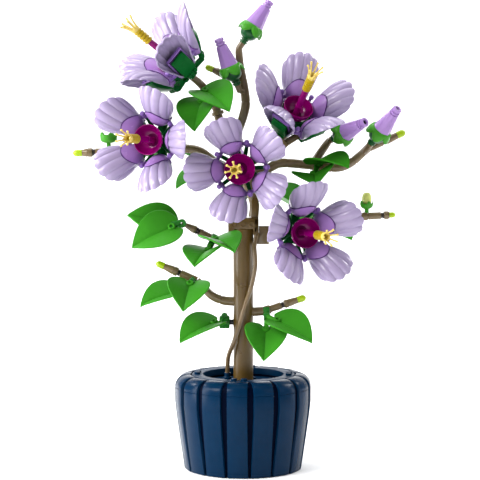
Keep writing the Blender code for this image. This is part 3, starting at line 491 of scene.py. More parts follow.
FLOWERS = {
    "centre": ((-1.2, -23.6, 240.1), (-0.108, -0.994, 0.012), 40.0),
    "left": ((-68.0, -22.0, 262.2), (-0.374, -0.926, 0.044), 0.0),
    "right": ((42.6, -19.4, 190.9), (0.391, -0.920, -0.017), 20.0),
    "top_right": ((39.1, -2.0, 277.8), (0.272, -0.685, 0.676), 3.5),
    "top_left": ((-46.6, -15.0, 317.0), (-0.740, -0.263, 0.619), -5.4),
}
BUDS = {
    "top": ((7.0, 0.0, 350.0), (20.5, 0.0, 370.5)),
    "top_left": ((-10.0, -10.0, 318.0), (-19.0, -14.0, 340.0)),
    "right": ((79.6, -5.0, 267.6), (94.6, -22.8, 276.3)),
    "far_right": ((108.0, -5.0, 269.0), (120.0, -17.0, 286.0)),
    "back": ((-3.0, 43.0, 242.5), (-8.0, 58.0, 258.0)),
}
CALYX_FOOT, BUD_FOOT, STALK_LENGTH = -7.0, -13.5, 5.0


def bud_seat(place):
    foot, tip = BUDS[place]
    return foot, Vector(tip) - Vector(foot)


def run_up(place, axis, foot, radius):
    """The last stations of a stalk, in line with the flower or bud that it carries."""
    place, axis = Vector(place), Vector(axis).normalized()
    return [(*(place + axis * (foot - distance)), radius) for distance in (STALK_LENGTH, 0.4)]


def to_flower(name):
    return run_up(*FLOWERS[name][:2], CALYX_FOOT, 2.8)


def to_bud(name, radius):
    return run_up(*bud_seat(name), BUD_FOOT, radius)


def bough(stations, *grooves):
    """A limb whose radius follows the stations, pinched at each groove (share of its length)."""
    rows = np.array(smooth(stations))
    steps = np.linalg.norm(np.diff(rows[:, :3], axis=0), axis=1)
    gone = np.concatenate([[0.0], np.cumsum(steps)])
    marks = [gone]
    for share in grooves:
        marks.append(share * gone[-1] + np.array([-0.4, -0.2, 0.2, 0.4]))
    marks = np.unique(np.clip(np.concatenate(marks), 0.0, gone[-1]))
    found = np.array([np.interp(marks, gone, rows[:, column]) for column in range(4)]).T
    for share in grooves:
        inside = np.abs(marks - share * gone[-1]) < 0.3
        found[inside, 3] -= 0.35
    keep = np.concatenate([[True], np.diff(marks) > 0.02])
    return tube(found[keep])


# The outlines of parts of a twig, as (distance on, wider by)
COLLAR_STEPS = (0.0, -0.2), (0.3, 0.4), (4.0, 0.4), (4.3, -0.5), (4.9, -0.5), (5.2, 0.0)
CONE_STEPS = (
    (-2.4, -0.1), (-2.1, -1.2), (0.0, -1.2), (0.2, 0.1), (0.7, 0.35), (3.4, 0.35), (3.6, -0.05),
    (4.0, -0.05), (4.2, 0.2),
)
GAP_STEPS = (
    (-2.0, -1.1), (-1.9, -0.5), (-1.2, -0.5), (-1.1, -0.9), (-0.8, -0.9), (-0.7, -0.4), (-0.1, -0.4),
    (0.0, -1.1),
)
SOCKET_STEPS = (-0.1, -0.25), (0.2, -0.7), (0.8, -0.9)
TIP_STEPS = (0.0, -0.5), (0.25, -0.1), (0.8, 0.0)


def stepped(place, radius, steps):
    """Part of a twig's outline, with its steps taken from a place and a radius."""
    return [(place + on, radius + wider) for on, wider in steps]


def twig(tips, gaps, start, end, cone, girth=3.1, tip=7.2, tip_radius=2.75, collar=0.0):
    """A straight twig with a cone that starts at a distance. Its bright tip and dark gap are put in
    their own forms."""
    start, end = np.array(start, float), np.array(end, float)
    length = np.linalg.norm(end - start)
    unit = (end - start) / length
    last, half = length - tip, 0.45 * tip
    line = [(0.0, girth - 0.3)]
    if collar:
        line += stepped(collar, girth, COLLAR_STEPS)
    line += stepped(cone, girth, CONE_STEPS) + stepped(last, tip_radius, SOCKET_STEPS)
    # A dark ring in the groove before the cone: painted shade
    gaps.add(straight(start, unit, stepped(cone, girth, GAP_STEPS), 24))
    bead = stepped(last, tip_radius, TIP_STEPS)
    bead += [(length - half + half * sin(turn), max(0.05, tip_radius * cos(turn)))
             for turn in sweep(0.0, 90.0, 8)]
    tips.add(straight(start, unit, bead, 24))
    return straight(start, unit, line, 24)


def make_trunk():
    sides = [(TRUNK_RADIUS, height) for height in np.linspace(TRUNK_FOOT, TRUNK_TOP - 0.5, 12)]
    column = turned([(0.0, TRUNK_FOOT), *sides, (TRUNK_RADIUS - 0.5, TRUNK_TOP), (0.0, TRUNK_TOP)], 64)
    Form(column).made("trunk_post", TRUNK, "trunk_tan", "trunk_column")

    collar = Form()
    collar.add(plate([
        (-12.0, 186.0), (-7.9, 186.0), (-7.9, 191.8), (7.9, 191.8), (7.9, 187.0),
        (12.0, 187.0), (12.0, 199.6), (11.0, 200.5), (-10.6, 200.5), (-12.0, 199.0),
    ], 15.0, bevel=0.5, ease=0.9), UPRIGHT)
    for x in (-7.6, -0.4, 6.8):
        collar.add(ring(oblong(1.2, 2.5, -0.4, 0.5), 24, 0.25), shift((x, -7.4, 195.5)) @ UPRIGHT)
    cheek = plate(oblong(8.6, 12.2, 180.0, 200.0), 3.2, bevel=0.4, ease=0.5)
    collar.add(cheek, shift((0.0, -5.9, 0.0)) @ UPRIGHT)
    strut = [(6.3, 198.0), (12.1, 198.0), (12.1, 214.0), (10.9, 217.0), (7.6, 217.0), (6.3, 214.0)]
    collar.add(plate(strut, 5.6, bevel=0.5, ease=0.6), shift((0.0, -1.8, 0.0)) @ UPRIGHT)
    collar.made("trunk_saddle", TRUNK, "bough_tan", "trunk_collar")

    Form(
        bough([
            (8.2, 1.0, 200.9, 4.0), (8.8, 1.0, 212.0, 4.0), (5.0, 0.5, 225.0, 5.0),
            (0.4, 0.0, 235.0, 6.6), (-1.8, 0.0, 241.0, 7.2), (-2.6, 0.0, 249.0, 7.4),
        ], 0.22, 0.55),
        tube([(0.0, -3.0, 240.0, 2.8), *to_flower("centre")]),
    ).made("trunk_fork_post", BOUGH, "bough_tan", "upper_trunk")

    block = [(8.4, 179.5), (20.5, 179.5), (20.5, 194.0), (12.4, 194.0), (12.4, 188.0), (8.4, 188.0)]
    Form(
        moved(plate(block, 8.0, bevel=0.45, ease=0.6), UPRIGHT),
        along((17.8, 0.0, 187.0), (21.6, 0.0, 187.6), [(0.0, 3.9), (1.0, 3.9)], ease=0.4),
        bough([(18.0, 0.0, 187.0, 3.2), (26.0, 0.0, 188.5, 3.2), (44.0, 0.0, 190.5, 3.2)], 0.3, 0.62),
        tube([(34.4, 0.0, 190.5, 2.8), *to_flower("right")]),
    ).made("right_arm", BOUGH, "bough_tan", "arm_right")

    route = smooth([(*place, VINE_RADIUS) for place in VINE_ROUTE], 8)
    Form(tube(route, 16)).made("winding_vine", VINE, "bough_tan", "vine")
    clip = ring([(1.7, 70.2), (3.1, 70.2), (3.1, 73.0), (2.5, 73.4), (2.5, 76.4), (1.7, 76.4)], 24, 0.3)
    Form(moved(clip, shift((-12.6, -0.1, 0.0)))).made("vine_clip", POT, "pot_blue")


def make_boughs():
    tips, gaps = Form(), Form()

    def grown(place, *shapes):
        Form(*shapes).made(f"{place}_bough", BOUGH, "bough_tan", f"bough_{place}")

    grown(
        "left",
        bough(ROUTES["left"], 0.17, 0.36, 0.55, 0.74),
        twig(tips, gaps, (-107.5, 0.0, 252.8), (-135.0, 0.0, 251.5), 12.0, 3.2, 7.4),
        tube([(-59.0, 0.0, 254.8, 2.8), (-60.5, -4.0, 258.5, 2.8), *to_flower("left")]),
    )
    grown(
        "upper_left",
        bough([*ROUTES["upper_left"], *to_flower("top_left")], 0.18, 0.4, 0.62),
        along((-19.6, -2.2, 281.4), (-20.7, -2.2, 285.0), ((0.0, 3.4), (0.2, 4.9), (0.8, 4.9), (1.0, 3.4))),
    )
    grown(
        "top",
        bough([*ROUTES["top"], *to_bud("top", 2.6)], 0.12, 0.3, 0.48, 0.68),
        tube([(1.0, 0.0, 300.0, 2.4), *to_bud("top_left", 2.4)]),
        twig(tips, gaps, (0.0, 0.0, 307.5), (-30.0, 0.0, 320.0), 17.4, 2.9, 6.8, 2.5),
    )
    grown(
        "upper_right",
        bough([*ROUTES["upper_right"], *to_flower("top_right")], 0.28, 0.6),
        tube([(28.0, 6.0, 261.0, 2.8), (28.6, -3.0, 260.5, 2.8), (30.0, -10.5, 259.5, 2.6)]),
        along((27.0, -10.0, 256.2), (44.8, -7.0, 266.6), (
            (0.0, 2.2), (0.05, 2.8), (0.3, 2.8), (0.33, 2.4), (0.38, 2.4), (0.41, 2.9), (0.95, 2.6),
            (1.0, 2.0),
        )),
        along((24.8, -12.6, 266.4), (34.2, -12.6, 256.8), (
            (0.0, 1.8), (0.06, 2.5), (0.3, 2.6), (0.33, 2.0), (0.4, 2.0), (0.43, 2.7), (0.94, 2.7),
            (1.0, 2.0),
        )),
    )
    grown(
        "right",
        bough([*ROUTES["right"], *to_bud("far_right", 2.8)], 0.13, 0.28, 0.45, 0.62, 0.8),
        tube([(54.5, 0.0, 242.0, 3.3), (60.0, 1.5, 250.0, 3.3), (65.6, 5.2, 257.8, 3.1),
              *to_bud("right", 2.8)]),
        tube([(94.0, 0.0, 250.5, 2.6), (100.0, 7.5, 255.0, 2.6)]),
        twig(tips, gaps, (100.0, 7.5, 255.0), (129.0, 9.0, 268.5), 14.4, 2.9, 7.2, 2.9),
    )
    grown(
        "mid_right",
        bough(ROUTES["mid_right"], 0.3, 0.62),
        twig(tips, gaps, (91.0, 0.0, 201.2), (121.0, 0.0, 202.8), 20.6, 2.9, 5.8, 2.2, 3.6),
    )
    grown(
        "mid_left",
        bough(ROUTES["mid_left"], 0.35),
        along((-33.5, 0.0, 188.4), (-49.0, 0.0, 196.2), (
            (0.0, 3.1), (0.05, 3.1), (0.07, 2.2), (0.25, 2.2), (0.27, 2.9), (0.29, 3.1), (0.37, 3.1),
            (0.84, 1.6), (0.9, 1.6), (0.92, 2.2), (0.97, 2.2), (1.0, 1.0),
        ), 24),
    )
    # A dark ring in the narrow neck of this twig: painted shade
    gaps.add(along((-34.5, 0.0, 188.9), (-37.5, 0.0, 190.4), (
        (0.0, 2.1), (0.05, 2.7), (0.38, 2.7), (0.42, 2.3), (0.55, 2.3), (0.6, 2.9), (0.95, 2.9), (1.0, 2.1),
    ), 24))
    grown(
        "low_left",
        bough(ROUTES["low_left"], 0.3, 0.66),
        twig(tips, gaps, (-37.0, 0.0, 150.4), (-69.5, 0.0, 164.5), 16.4, 3.2),
    )
    grown(
        "low_right",
        bough(ROUTES["low_right"]),
        along((16.6, 0.0, 125.9), (22.0, 0.0, 127.6), ((0.0, 3.2), (0.2, 3.7), (0.8, 3.7), (1.0, 3.0))),
        twig(tips, gaps, (19.0, 0.0, 126.6), (50.0, 0.0, 137.0), 14.2, 3.0, 7.2, 2.8),
    )
    grown("back", bough([*ROUTES["back"], *to_bud("back", 2.7)], 0.3, 0.6))
    Form(bough(ROUTES["stub_left"], 0.5)).made("left_stub", STUB, "bough_tan", "stub_left")
    gaps.made("twig_gaps", GAP_SHADE, "bough_tan")
    tips.made("twig_tips", LIME, "bud_lime")


# Flowers

PETALS, PETAL_LEAN, PETAL_RADIAL, PETAL_RISE = 5, radians(32.5), 24.0, 10.1
NECK_LINE = (
    (-1.0, -12.2, 0.6, 0.8), (-0.85, -11.4, 4.6, 4.8), (-0.6, -9.4, 7.8, 8.0), (-0.35, -6.2, 8.8, 9.4),
    (-0.2, -4.2, 9.6, 9.8), (0.0, 0.0, 10.9, 10.2),
)
CROWN_WIDTH, CROWN_HEIGHT, FLARE, SIDE_REACH, TIP_REACH = 10.9, 10.2, 4.85, 15.0, 15.7
LOBES, LOBE_DEPTH, LOBE_MIDDLE, TIP_LOBE_DEPTH = 6, 1.0, 0.62, 0.9
PETAL_SKIRT, CORNER_DROP, CORNER_PINCH = 1.6, 3.2, 0.09
CAP_CENTRE, CAP_REACH, CAP_HALF_WIDTH = -0.1, 0.41, 9.0


def petal_row(reach):
    """Half width, side place, ridge reach and height of a petal. Reach runs from -1 to 1."""
    if reach < 0:
        marks = [row[0] for row in NECK_LINE]
        side, width, height = (np.interp(reach, marks, [row[i] for row in NECK_LINE]) for i in (1, 2, 3))
        return width, side, 0.0, height
    width, height = CROWN_WIDTH + FLARE * reach**0.7, CROWN_HEIGHT * (1.0 - reach**2.6) ** 0.7
    return width, SIDE_REACH * reach, TIP_REACH * reach**0.86, height


def petal_point(across, reach, lift=0.0, lobed=False):
    """A point of a petal's outside. Across runs from -1 to 1 and reach from the neck to the tip."""
    turn = across * pi / 2
    width, side, ridge, height = petal_row(reach)
    grown = max(0.0, reach)
    tilt = radians(8.0 + 82.0 * grown**6)
    tip = 0.0
    if lobed:
        lobe = abs(sin(LOBES / 2 * pi * (across + 1.0))) ** 0.7
        lift += LOBE_DEPTH * (lobe - LOBE_MIDDLE) * min(1.0, max(0.0, reach + 0.1) / 0.35)
        tip = TIP_LOBE_DEPTH * (lobe - 0.5) * grown**5
    corner = abs(across) ** 5 * grown**5
    skirt = PETAL_SKIRT * abs(across) ** 3 * (1.0 - 0.5 * grown**2)
    return (
        (width + lift) * sin(turn) * (1.0 - CORNER_PINCH * corner),
        side + (ridge + lift * sin(tilt) + tip) * cos(turn) - CORNER_DROP * corner,
        (height + lift * cos(tilt)) * cos(turn) - skirt,
    )


def cap_share(width, reach):
    """The share of a petal's half width that a width of its cap comes to."""
    return asin(min(1.0, width / petal_row(reach)[0])) * 2 / pi


def cap_limit(reach):
    """How far across a petal its cap goes, which ends in half an ellipse."""
    ahead = max(0.0, reach - CAP_CENTRE) / CAP_REACH
    return min(0.97, cap_share(CAP_HALF_WIDTH * sqrt(max(0.0, 1.0 - ahead * ahead)), reach))


def make_petal():
    columns, rows = 8 * LOBES // SPARE + 1, 40 // SPARE
    return shell([
        [petal_point(across, reach, 0.0, True) for across in np.linspace(-1.0, 1.0, columns)]
        for reach in np.linspace(-1.0, 1.0, rows)
    ], 1.2)


def make_cap():
    """The purple cap over a petal's neck."""
    marks = [-0.8, -0.7, -0.6, -0.5, -0.4, -0.3, -0.2]
    marks += [CAP_CENTRE + 0.985 * CAP_REACH * sin(turn) for turn in sweep(0.0, 88.0, 12)]
    shares = np.linspace(-1.0, 1.0, 32 // SPARE + 1)
    return shell([[petal_point(share * cap_limit(at), at, 0.72) for share in shares] for at in marks], 1.2)


def make_seam():
    """The raised line round the end of a cap, dark with painted shade."""
    places = []
    for turn in sweep(-120.0, 120.0, 41):
        reach = CAP_CENTRE + (CAP_REACH + 0.02) * cos(turn)
        if reach > CAP_CENTRE:
            limit = cap_share((CAP_HALF_WIDTH + 0.2) * abs(sin(turn)), reach)
        else:
            limit = cap_limit(reach)
        places.append((*petal_point(copysign(limit, turn), reach, 0.5), 0.34))
    return tube(places, 8)


def petal_frame(azimuth):
    """The frame of the petal at an azimuth round the flower's axis."""
    outward = Vector((cos(azimuth), sin(azimuth), 0.0))
    across = Vector((sin(azimuth), -cos(azimuth), 0.0))
    up = Vector((0.0, 0.0, 1.0))
    ridge = sin(PETAL_LEAN) * outward + cos(PETAL_LEAN) * up
    bulge = sin(PETAL_LEAN) * up - cos(PETAL_LEAN) * outward
    rest = Matrix((across, ridge, bulge)).transposed().to_4x4()
    return shift(PETAL_RADIAL * outward + PETAL_RISE * up) @ rest


def make_corolla():
    """A flower's five petals, with their caps, their seams and the pins between them."""
    petal, cap, bead = make_petal(), make_cap(), make_seam()
    socket = plate([
        (-8.0, -11.0), (-6.8, -11.0), (-6.8, 8.8), (6.8, 8.8), (6.8, -11.0), (8.0, -11.0),
        (8.0, 10.0), (-8.0, 10.0),
    ], 2.6, bevel=0.25, ease=0.2)
    petals, caps, pins, seams = Form(), Form(), Form(), Form()
    for index in range(PETALS):
        azimuth = tau * index / PETALS
        place = petal_frame(azimuth)
        petals.add(petal, place)
        caps.add(cap, place)
        seams.add(bead, place)
        pins.add(socket, place @ shift((0.0, 0.0, 2.2)))
        between = azimuth + pi / PETALS
        middle, side = polar(19.55, between, 6.3), np.array((-sin(between), cos(between), 0.0))
        pins.add(along(middle - side * 5.7, middle + side * 5.7, [(0.0, 1.6), (1.0, 1.6)], ease=0.3))
        pins.add(along(polar(18.2, between, 6.0), polar(21.9, between, 13.4), [
            (0.0, 0.9), (0.1, 1.3), (0.55, 1.3), (0.65, 1.9), (0.92, 2.0), (1.0, 1.0),
        ], ease=0.5))
    return petals, caps, pins, seams


def make_calyx():
    """The green seat of a flower: a hub, a toothed plate, five sepals on hinges, and struts between."""
    hub = turned([(0.0, -7.0), (6.2, -7.0), (7.0, -6.2), (7.0, -2.8), (6.2, -2.0), (0.0, -2.0)], 32, 0.3)
    sepal = plate([(-11.5, -2.8), (-5.0, -3.6), (3.0, -3.2), (7.6, -0.9), (7.8, 1.0), (-11.5, 1.0)],
                  13.0, bevel=0.6, ease=0.7)
    on_ridge = Matrix(((0, 0, 1, 0), (1, 0, 0, 0), (0, 1, 0, 0), (0, 0, 0, 1)))
    spoke = plate(oblong(5.0, 17.5, -3.4, 3.4), 3.4, bevel=0.4, ease=0.5)
    cog = []
    for tooth in range(10):
        for step, radius in ((-0.3, 9.0), (-0.18, 10.6), (0.18, 10.6), (0.3, 9.0)):
            cog.append(polar(radius, tau * (tooth + step) / 10)[:2])
    calyx = Form(hub)
    calyx.add(plate(cog, 2.2, bevel=0.3, ease=0.3), shift((0.0, 0.0, -5.4)))
    for index in range(PETALS):
        azimuth = tau * index / PETALS
        calyx.add(sepal, petal_frame(azimuth) @ on_ridge)
        knuckle, level = polar(18.2, azimuth, -2.4), np.array((-sin(azimuth), cos(azimuth), 0.0))
        calyx.add(along(knuckle - 5.0 * level, knuckle + 5.0 * level, (
            (0.0, 1.4), (0.04, 2.4), (0.24, 2.4), (0.27, 1.7), (0.38, 1.7), (0.41, 2.5), (0.59, 2.5),
            (0.62, 1.7), (0.73, 1.7), (0.76, 2.4), (0.96, 2.4), (1.0, 1.4),
        ), 12))
        between = azimuth + pi / PETALS
        calyx.add(tube([(*polar(r, between, z), girth) for r, z, girth in (
            (5.0, -3.6, 1.7), (13.0, 0.6, 1.7), (16.6, 3.4, 1.6), (18.6, 6.4, 1.5),
        )], 14))
        calyx.add(spoke, turn_z(degrees(azimuth)) @ shift((0.0, 0.0, -4.7)))
    return calyx


def make_dish():
    """The cup in a flower's middle, with its post and a band round the post."""
    return Form(
        turned([
            (0.0, -1.7), (2.4, -1.7), (2.4, 4.6), (4.4, 4.8), (7.0, 5.8), (9.2, 7.6), (10.8, 10.0),
            (11.6, 12.6), (12.0, 15.4), (11.9, 15.85), (11.6, 16.0), (11.3, 15.8), (10.9, 13.2),
            (10.0, 10.8), (8.6, 8.8), (6.6, 7.2), (4.6, 6.4), (2.9, 6.4), (2.5, 7.6), (2.5, 35.6),
            (0.0, 35.6),
        ], 48),
        turned([(0.0, 15.9), (2.9, 15.9), (3.05, 16.8), (2.9, 17.6), (0.0, 17.6)], 32, 0.2),
    )


def make_sleeve():
    line = [(0.0, 35.1)]
    for rib in range(5):
        low = 35.1 + 2.7 * rib
        line += [(2.8, low), (3.5, low + 0.5), (3.5, low + 1.9), (2.8, low + 2.4)]
    return Form(turned([*line, (0.0, 48.3)], 32))


def make_stalks():
    """The pale crown on the sleeve: a ring and seven bent stalks."""
    stalks = Form(ring([
        (1.6, 47.6), (3.0, 47.6), (3.4, 50.2), (3.3, 51.6), (2.7, 51.9), (2.2, 51.2), (1.6, 49.0),
    ], 30, 0.2))
    for angle in around(7):
        stalks.add(tube(smooth([(*polar(r, angle, z), girth) for r, z, girth in (
            (2.8, 49.0, 0.8), (3.1, 52.0, 0.7), (4.4, 56.0, 0.6), (5.7, 58.8, 0.7), (6.1, 59.3, 1.0),
            (6.5, 59.8, 0.5),
        )], 3), 10))
    return stalks


def make_flowers():
    petals, caps, pins, seams = make_corolla()
    # A dark disc in the bottom of the dish: painted shade
    dish_shade = turned([(2.4, 5.6), (4.4, 5.9), (5.2, 6.6), (4.6, 6.75), (3.2, 6.6), (2.4, 6.9)], 40)
    parts = (
        ("corolla", petals, PETAL, "petal_lilac", "petals"), ("caps", caps, CAP, "petal_lilac", ""),
        ("pins", pins, JOINT, "petal_lilac", ""), ("seams", seams, CAP_EDGE_SHADE, "petal_lilac", ""),
        ("calyx", make_calyx(), CALYX, "calyx_green", "calyx"),
        ("dish", make_dish(), DISH, "centre_magenta", "centre"),
        ("dish_shade", Form(dish_shade), DISH_SHADE, "centre_magenta", ""),
        ("sleeve", make_sleeve(), SLEEVE, "centre_magenta", ""),
        ("stalks", make_stalks(), STALK, "centre_magenta", ""),
    )
    for place, (hub, axis, turn) in FLOWERS.items():
        seat = frame_on(hub, axis, turn)
        for part, form, material, slot, node in parts:
            nodes = [f"flower_{place}_{node}"] if node else []
            Form(moved(form.shape(), seat)).made(f"{place}_{part}", material, slot, *nodes)


# Buds


# Rows of (radius, height, share of the wave), from the bottom outside over the rim
BUD_ROWS = (
    (7.0, 0.0, 0.0), (7.8, 0.8, 0.2), (7.5, 3.0, 1.0), (6.4, 9.0, 1.0), (5.3, 15.0, 1.0),
    (4.6, 19.0, 1.0), (4.3, 19.6, 0.3), (3.2, 19.9, 0.0), (3.2, 20.5, 0.0), (4.0, 20.8, 0.0),
    (4.0, 21.9, 0.0), (3.1, 22.2, 0.0), (3.1, 22.8, 0.0), (3.7, 23.1, 0.0), (3.7, 25.0, 0.0),
    (3.3, 25.5, 0.0), (2.1, 25.5, 0.0), (1.8, 25.2, 0.0), (1.8, 23.0, 0.0),
)
CUP_ROWS = (
    (5.0, -1.4, 0.0), (7.6, -1.2, 0.1), (8.8, -2.4, 0.5), (9.5, -4.6, 1.0), (10.1, -5.3, 1.0),
    (10.6, -4.5, 1.0), (10.3, -1.6, 0.6), (9.3, 0.8, 0.2), (8.3, 2.4, 0.0), (7.4, 2.9, 0.0),
    (6.4, 2.6, 0.0),
)


def make_buds():
    angles = around(60)
    facet, notch = np.abs(np.sin(4 * angles)), 1.0 - np.abs(np.cos(2.5 * angles))
    cone = skin([circle(r * (1.0 - 0.06 * wave * facet), height, angles) for r, height, wave in BUD_ROWS])
    cup = skin([
        circle(r * (1.0 - 0.16 * wave * notch), height + 3.9 * wave * notch, angles)
        for r, height, wave in CUP_ROWS
    ])
    bowl = turned([
        (0.0, -14.0), (2.6, -14.0), (2.8, -13.2), (3.4, -13.0), (3.4, -12.0), (2.5, -11.8), (2.5, -11.2),
        (3.4, -11.0), (3.4, -10.1), (2.7, -9.9), (4.6, -9.0), (6.1, -7.6), (6.9, -6.0), (7.2, -4.4),
        (7.2, -2.6), (6.4, -1.2), (0.0, -1.0),
    ], 12)
    # A dark disc at the bottom of the bud's end hole: painted shade
    hole_shade = turned(oblong(0.0, 1.78, 22.8, 23.8), 24)
    for place in BUDS:
        seat = frame_on(*bud_seat(place))
        Form(moved(cone, seat)).made(f"{place}_bud", BUD, "bud_violet", f"bud_{place}_cone")
        Form(moved(cup, seat)).made(f"{place}_bud_cup", CUP, "cup_green", f"bud_{place}_calyx")
        Form(moved(bowl, seat)).made(f"{place}_bud_bowl", BOWL, "cup_green")
        Form(moved(hole_shade, seat)).made(f"{place}_bud_hole", HOLE_SHADE, "bud_violet")


def spiked(radius, height):
    """A small cup whose rim rises in five points."""
    angles = around(60)
    notch = 1.0 - np.maximum(0.0, np.cos(5 * angles)) ** 0.8
    return skin([circle(r, z - wave * 2.0 * notch, angles) for r, z, wave in (
        (1.7, -3.2, 0.0), (1.7, -0.2, 0.0), (radius * 0.62, 0.4, 0.0), (radius * 0.9, 1.4, 0.0),
        (radius, 2.6, 0.0), (radius + 0.3, height - 0.5, 1.0), (radius + 0.3, height, 1.0),
        (radius - 0.3, height, 1.0), (radius - 1.0, 3.6, 0.1), (radius - 1.6, 3.0, 0.0),
    )])


def make_small_buds():
    left, right = shift((-106.6, 0.0, 259.6)), shift((98.0, 0.0, 207.4))
    egg = turned([
        (0.0, 1.8), (2.4, 1.9), (3.4, 4.2), (3.9, 6.6), (3.8, 9.2), (3.2, 11.4), (2.2, 12.8), (1.0, 13.2),
        (0.0, 13.2),
    ], 32, 0.4)
    Form(moved(spiked(6.6, 8.6), left)).made("small_left_cup", CUP, "cup_green", "bud_small_left")
    Form(moved(egg, right)).made("small_right_egg", EGG, "bud_lime", "bud_small_right")
    Form(moved(spiked(5.0, 6.4), right)).made("small_right_cup", CUP, "cup_green")


# Leaves

LEAF_LENGTH, LEAF_WIDTH, LEAF_SHOULDER, LEAF_ARCH = 38.0, 17.5, 10.5, 2.5
LEAF_FOLD = radians(20.0)


def leaf_rise(share):
    return 4.0 * LEAF_ARCH * share * (1.0 - share)


def leaf_edge(share):
    """How far across and forward a blade's edge is, from its heart-shaped base to its tip."""
    if share < 0.4:
        turn = share / 0.4 * pi / 2
        return LEAF_WIDTH * sin(turn) ** 0.85, LEAF_SHOULDER - 15.5 * cos(turn)
    ahead = (share - 0.4) / 0.6
    return LEAF_WIDTH * (1.0 - ahead * ahead), LEAF_SHOULDER + (LEAF_LENGTH - LEAF_SHOULDER) * ahead


def make_blade():
    rows = []
    for share in np.linspace(0.0, 1.0, 45 // SPARE):
        across, forward = leaf_edge(share)
        if share < 0.06:
            forward = forward * share / 0.06
        middle = LEAF_LENGTH * share**1.2
        row = []
        for side in np.linspace(-1.0, 1.0, 21):
            out = abs(side)
            x = max(across, 0.05) * side
            y = middle + (forward - middle) * out
            rib = 0.35 * exp(-((x / 0.9) ** 2))
            vein = 0.12 * cos(1.15 * (y - 0.75 * abs(x))) * min(1.0, abs(x) / 3.0)
            row.append((
                x * cos(LEAF_FOLD), y,
                abs(x) * sin(LEAF_FOLD) + leaf_rise(y / LEAF_LENGTH) - rib + vein * (1.0 - out),
            ))
        rows.append(row)
    return shell(rows, 1.2)


def leaf_frame(base, heading, pitch, roll):
    """A leaf's frame: its heading round Z from +X, its pitch above level and its roll."""
    heading, pitch = radians(heading), radians(pitch)
    level = cos(pitch)
    crease = Vector((level * cos(heading), level * sin(heading), sin(pitch)))
    right = Vector((sin(heading), -cos(heading), 0.0))
    rest = Matrix((right, crease, right.cross(crease))).transposed().to_4x4()
    return shift(base) @ rest @ Matrix.Rotation(radians(roll), 4, "Y")


# Each group of leaves on a ring: its limb, the stretch of the limb that it is on, how far along that,
# and for each leaf the base, heading, pitch and roll
RING_LEAVES = {
    "top_left": ("upper_left", 8, 0.7, (
        ((-31.2, -18.1, 301.1), -53.4, -24.6, 21.3), ((-32.0, -13.5, 293.8), -101.5, -38.5, 10.6),
    )),
    "left": ("left", 1, 0.5, (
        ((-23.5, 11.3, 235.4), 149.7, -18.5, 3.9),
    )),
    "behind_right": ("right", 1, 0.3, (
        ((23.2, 7.4, 221.6), 33.9, -29.9, -15.8),
    )),
    "trunk_left": ("mid_left", 2, 0.55, (
        ((-23.6, -16.7, 184.4), -63.0, -10.0, 4.2), ((-26.5, -8.3, 175.8), -108.0, -14.9, 3.9),
    )),
    "low_left": ("low_left", 7, 1.7, (
        ((-41.8, -8.0, 149.0), -98.4, -28.3, -7.6), ((-48.9, 4.9, 140.1), -151.3, -12.7, -15.9),
    )),
    "low_stub": ("stub_left", 0, 0.68, (
        ((-20.8, -3.0, 117.4), -145.4, -20.6, -12.8),
    )),
    "low_right": ("low_right", 0, 1.15, (
        ((24.6, -12.3, 120.2), -33.1, -23.4, 19.3), ((17.9, -8.7, 113.2), -93.7, -33.6, -6.9),
    )),
    "back_left": ("left", 6, 0.5, (
        ((-41.0, 23.0, 253.1), 70.5, -44.7, 23.8), ((-61.3, 15.2, 260.6), 141.1, -20.2, 35.6),
    )),
    "back_right": ("mid_right", 2, 0.5, (
        ((69.8, 7.2, 204.3), 52.7, -37.3, -32.8), ((60.1, 13.1, 198.9), 119.1, -21.0, 25.0),
    )),
    "back_centre": ("back", 2, 0.5, (
        ((5.0, 28.0, 217.4), 104.3, 13.6, -37.1), ((12.4, 14.0, 225.4), 73.5, 9.5, 16.8),
    )),
}

# Each group on a stem of its own: its plastic, the foot and the head of the stem, and its leaves
STEM_LEAVES = {
    "mid_left": (LEAF, (-50.5, -0.9, 195.2), (-53.6, -2.4, 193.2), (
        ((-54.0, -8.3, 194.1), -169.1, -25.2, -51.2), ((-56.9, 12.0, 190.0), -170.5, 19.3, -50.2),
    )),
    "right": (SHADED_LEAF, (58.0, -4.2, 241.3), (58.4, -7.6, 242.0), (
        ((57.3, -8.7, 244.0), -51.2, -2.7, 8.4), ((55.6, -8.0, 235.6), -89.8, -10.4, 12.1),
    )),
}

# Clips that go all the way round (radius, half length), and stems with a hinge (pin, bar)
WHOLE_CLIPS = {"low_stub": (5.2, 4.2)}
HINGES = {
    "mid_left": ((-48.6, -4.6, 196.2), (
        (-50.0, -4.6, 196.6, 2.6), (-53.0, -5.6, 195.6, 2.8), (-57.0, -7.4, 195.0, 2.6),
    )),
}


def half_ring(inner, outer, width, spread=84.0):
    """A clip that goes part of the way round a limb along +Z, with its back towards +X."""
    turns = sweep(-spread, spread, 25)
    outline = [(outer * cos(turn), outer * sin(turn)) for turn in turns]
    outline += [(inner * cos(turn), inner * sin(turn)) for turn in turns[::-1]]
    return plate(outline, width, bevel=0.4, ease=0.2)


def barrel(half, end, shoulder, radius):
    """A short bar along +Z with narrower ends, from half its length and half that of its thick part."""
    return turned([
        (0.0, -half), (end, -half), (radius, -shoulder), (radius, shoulder), (end, half), (0.0, half),
    ], 24)


def square_to(axis, direction):
    """The unit direction square to an axis that lies nearest to another direction."""
    return (direction - direction.dot(axis) * axis).normalized()


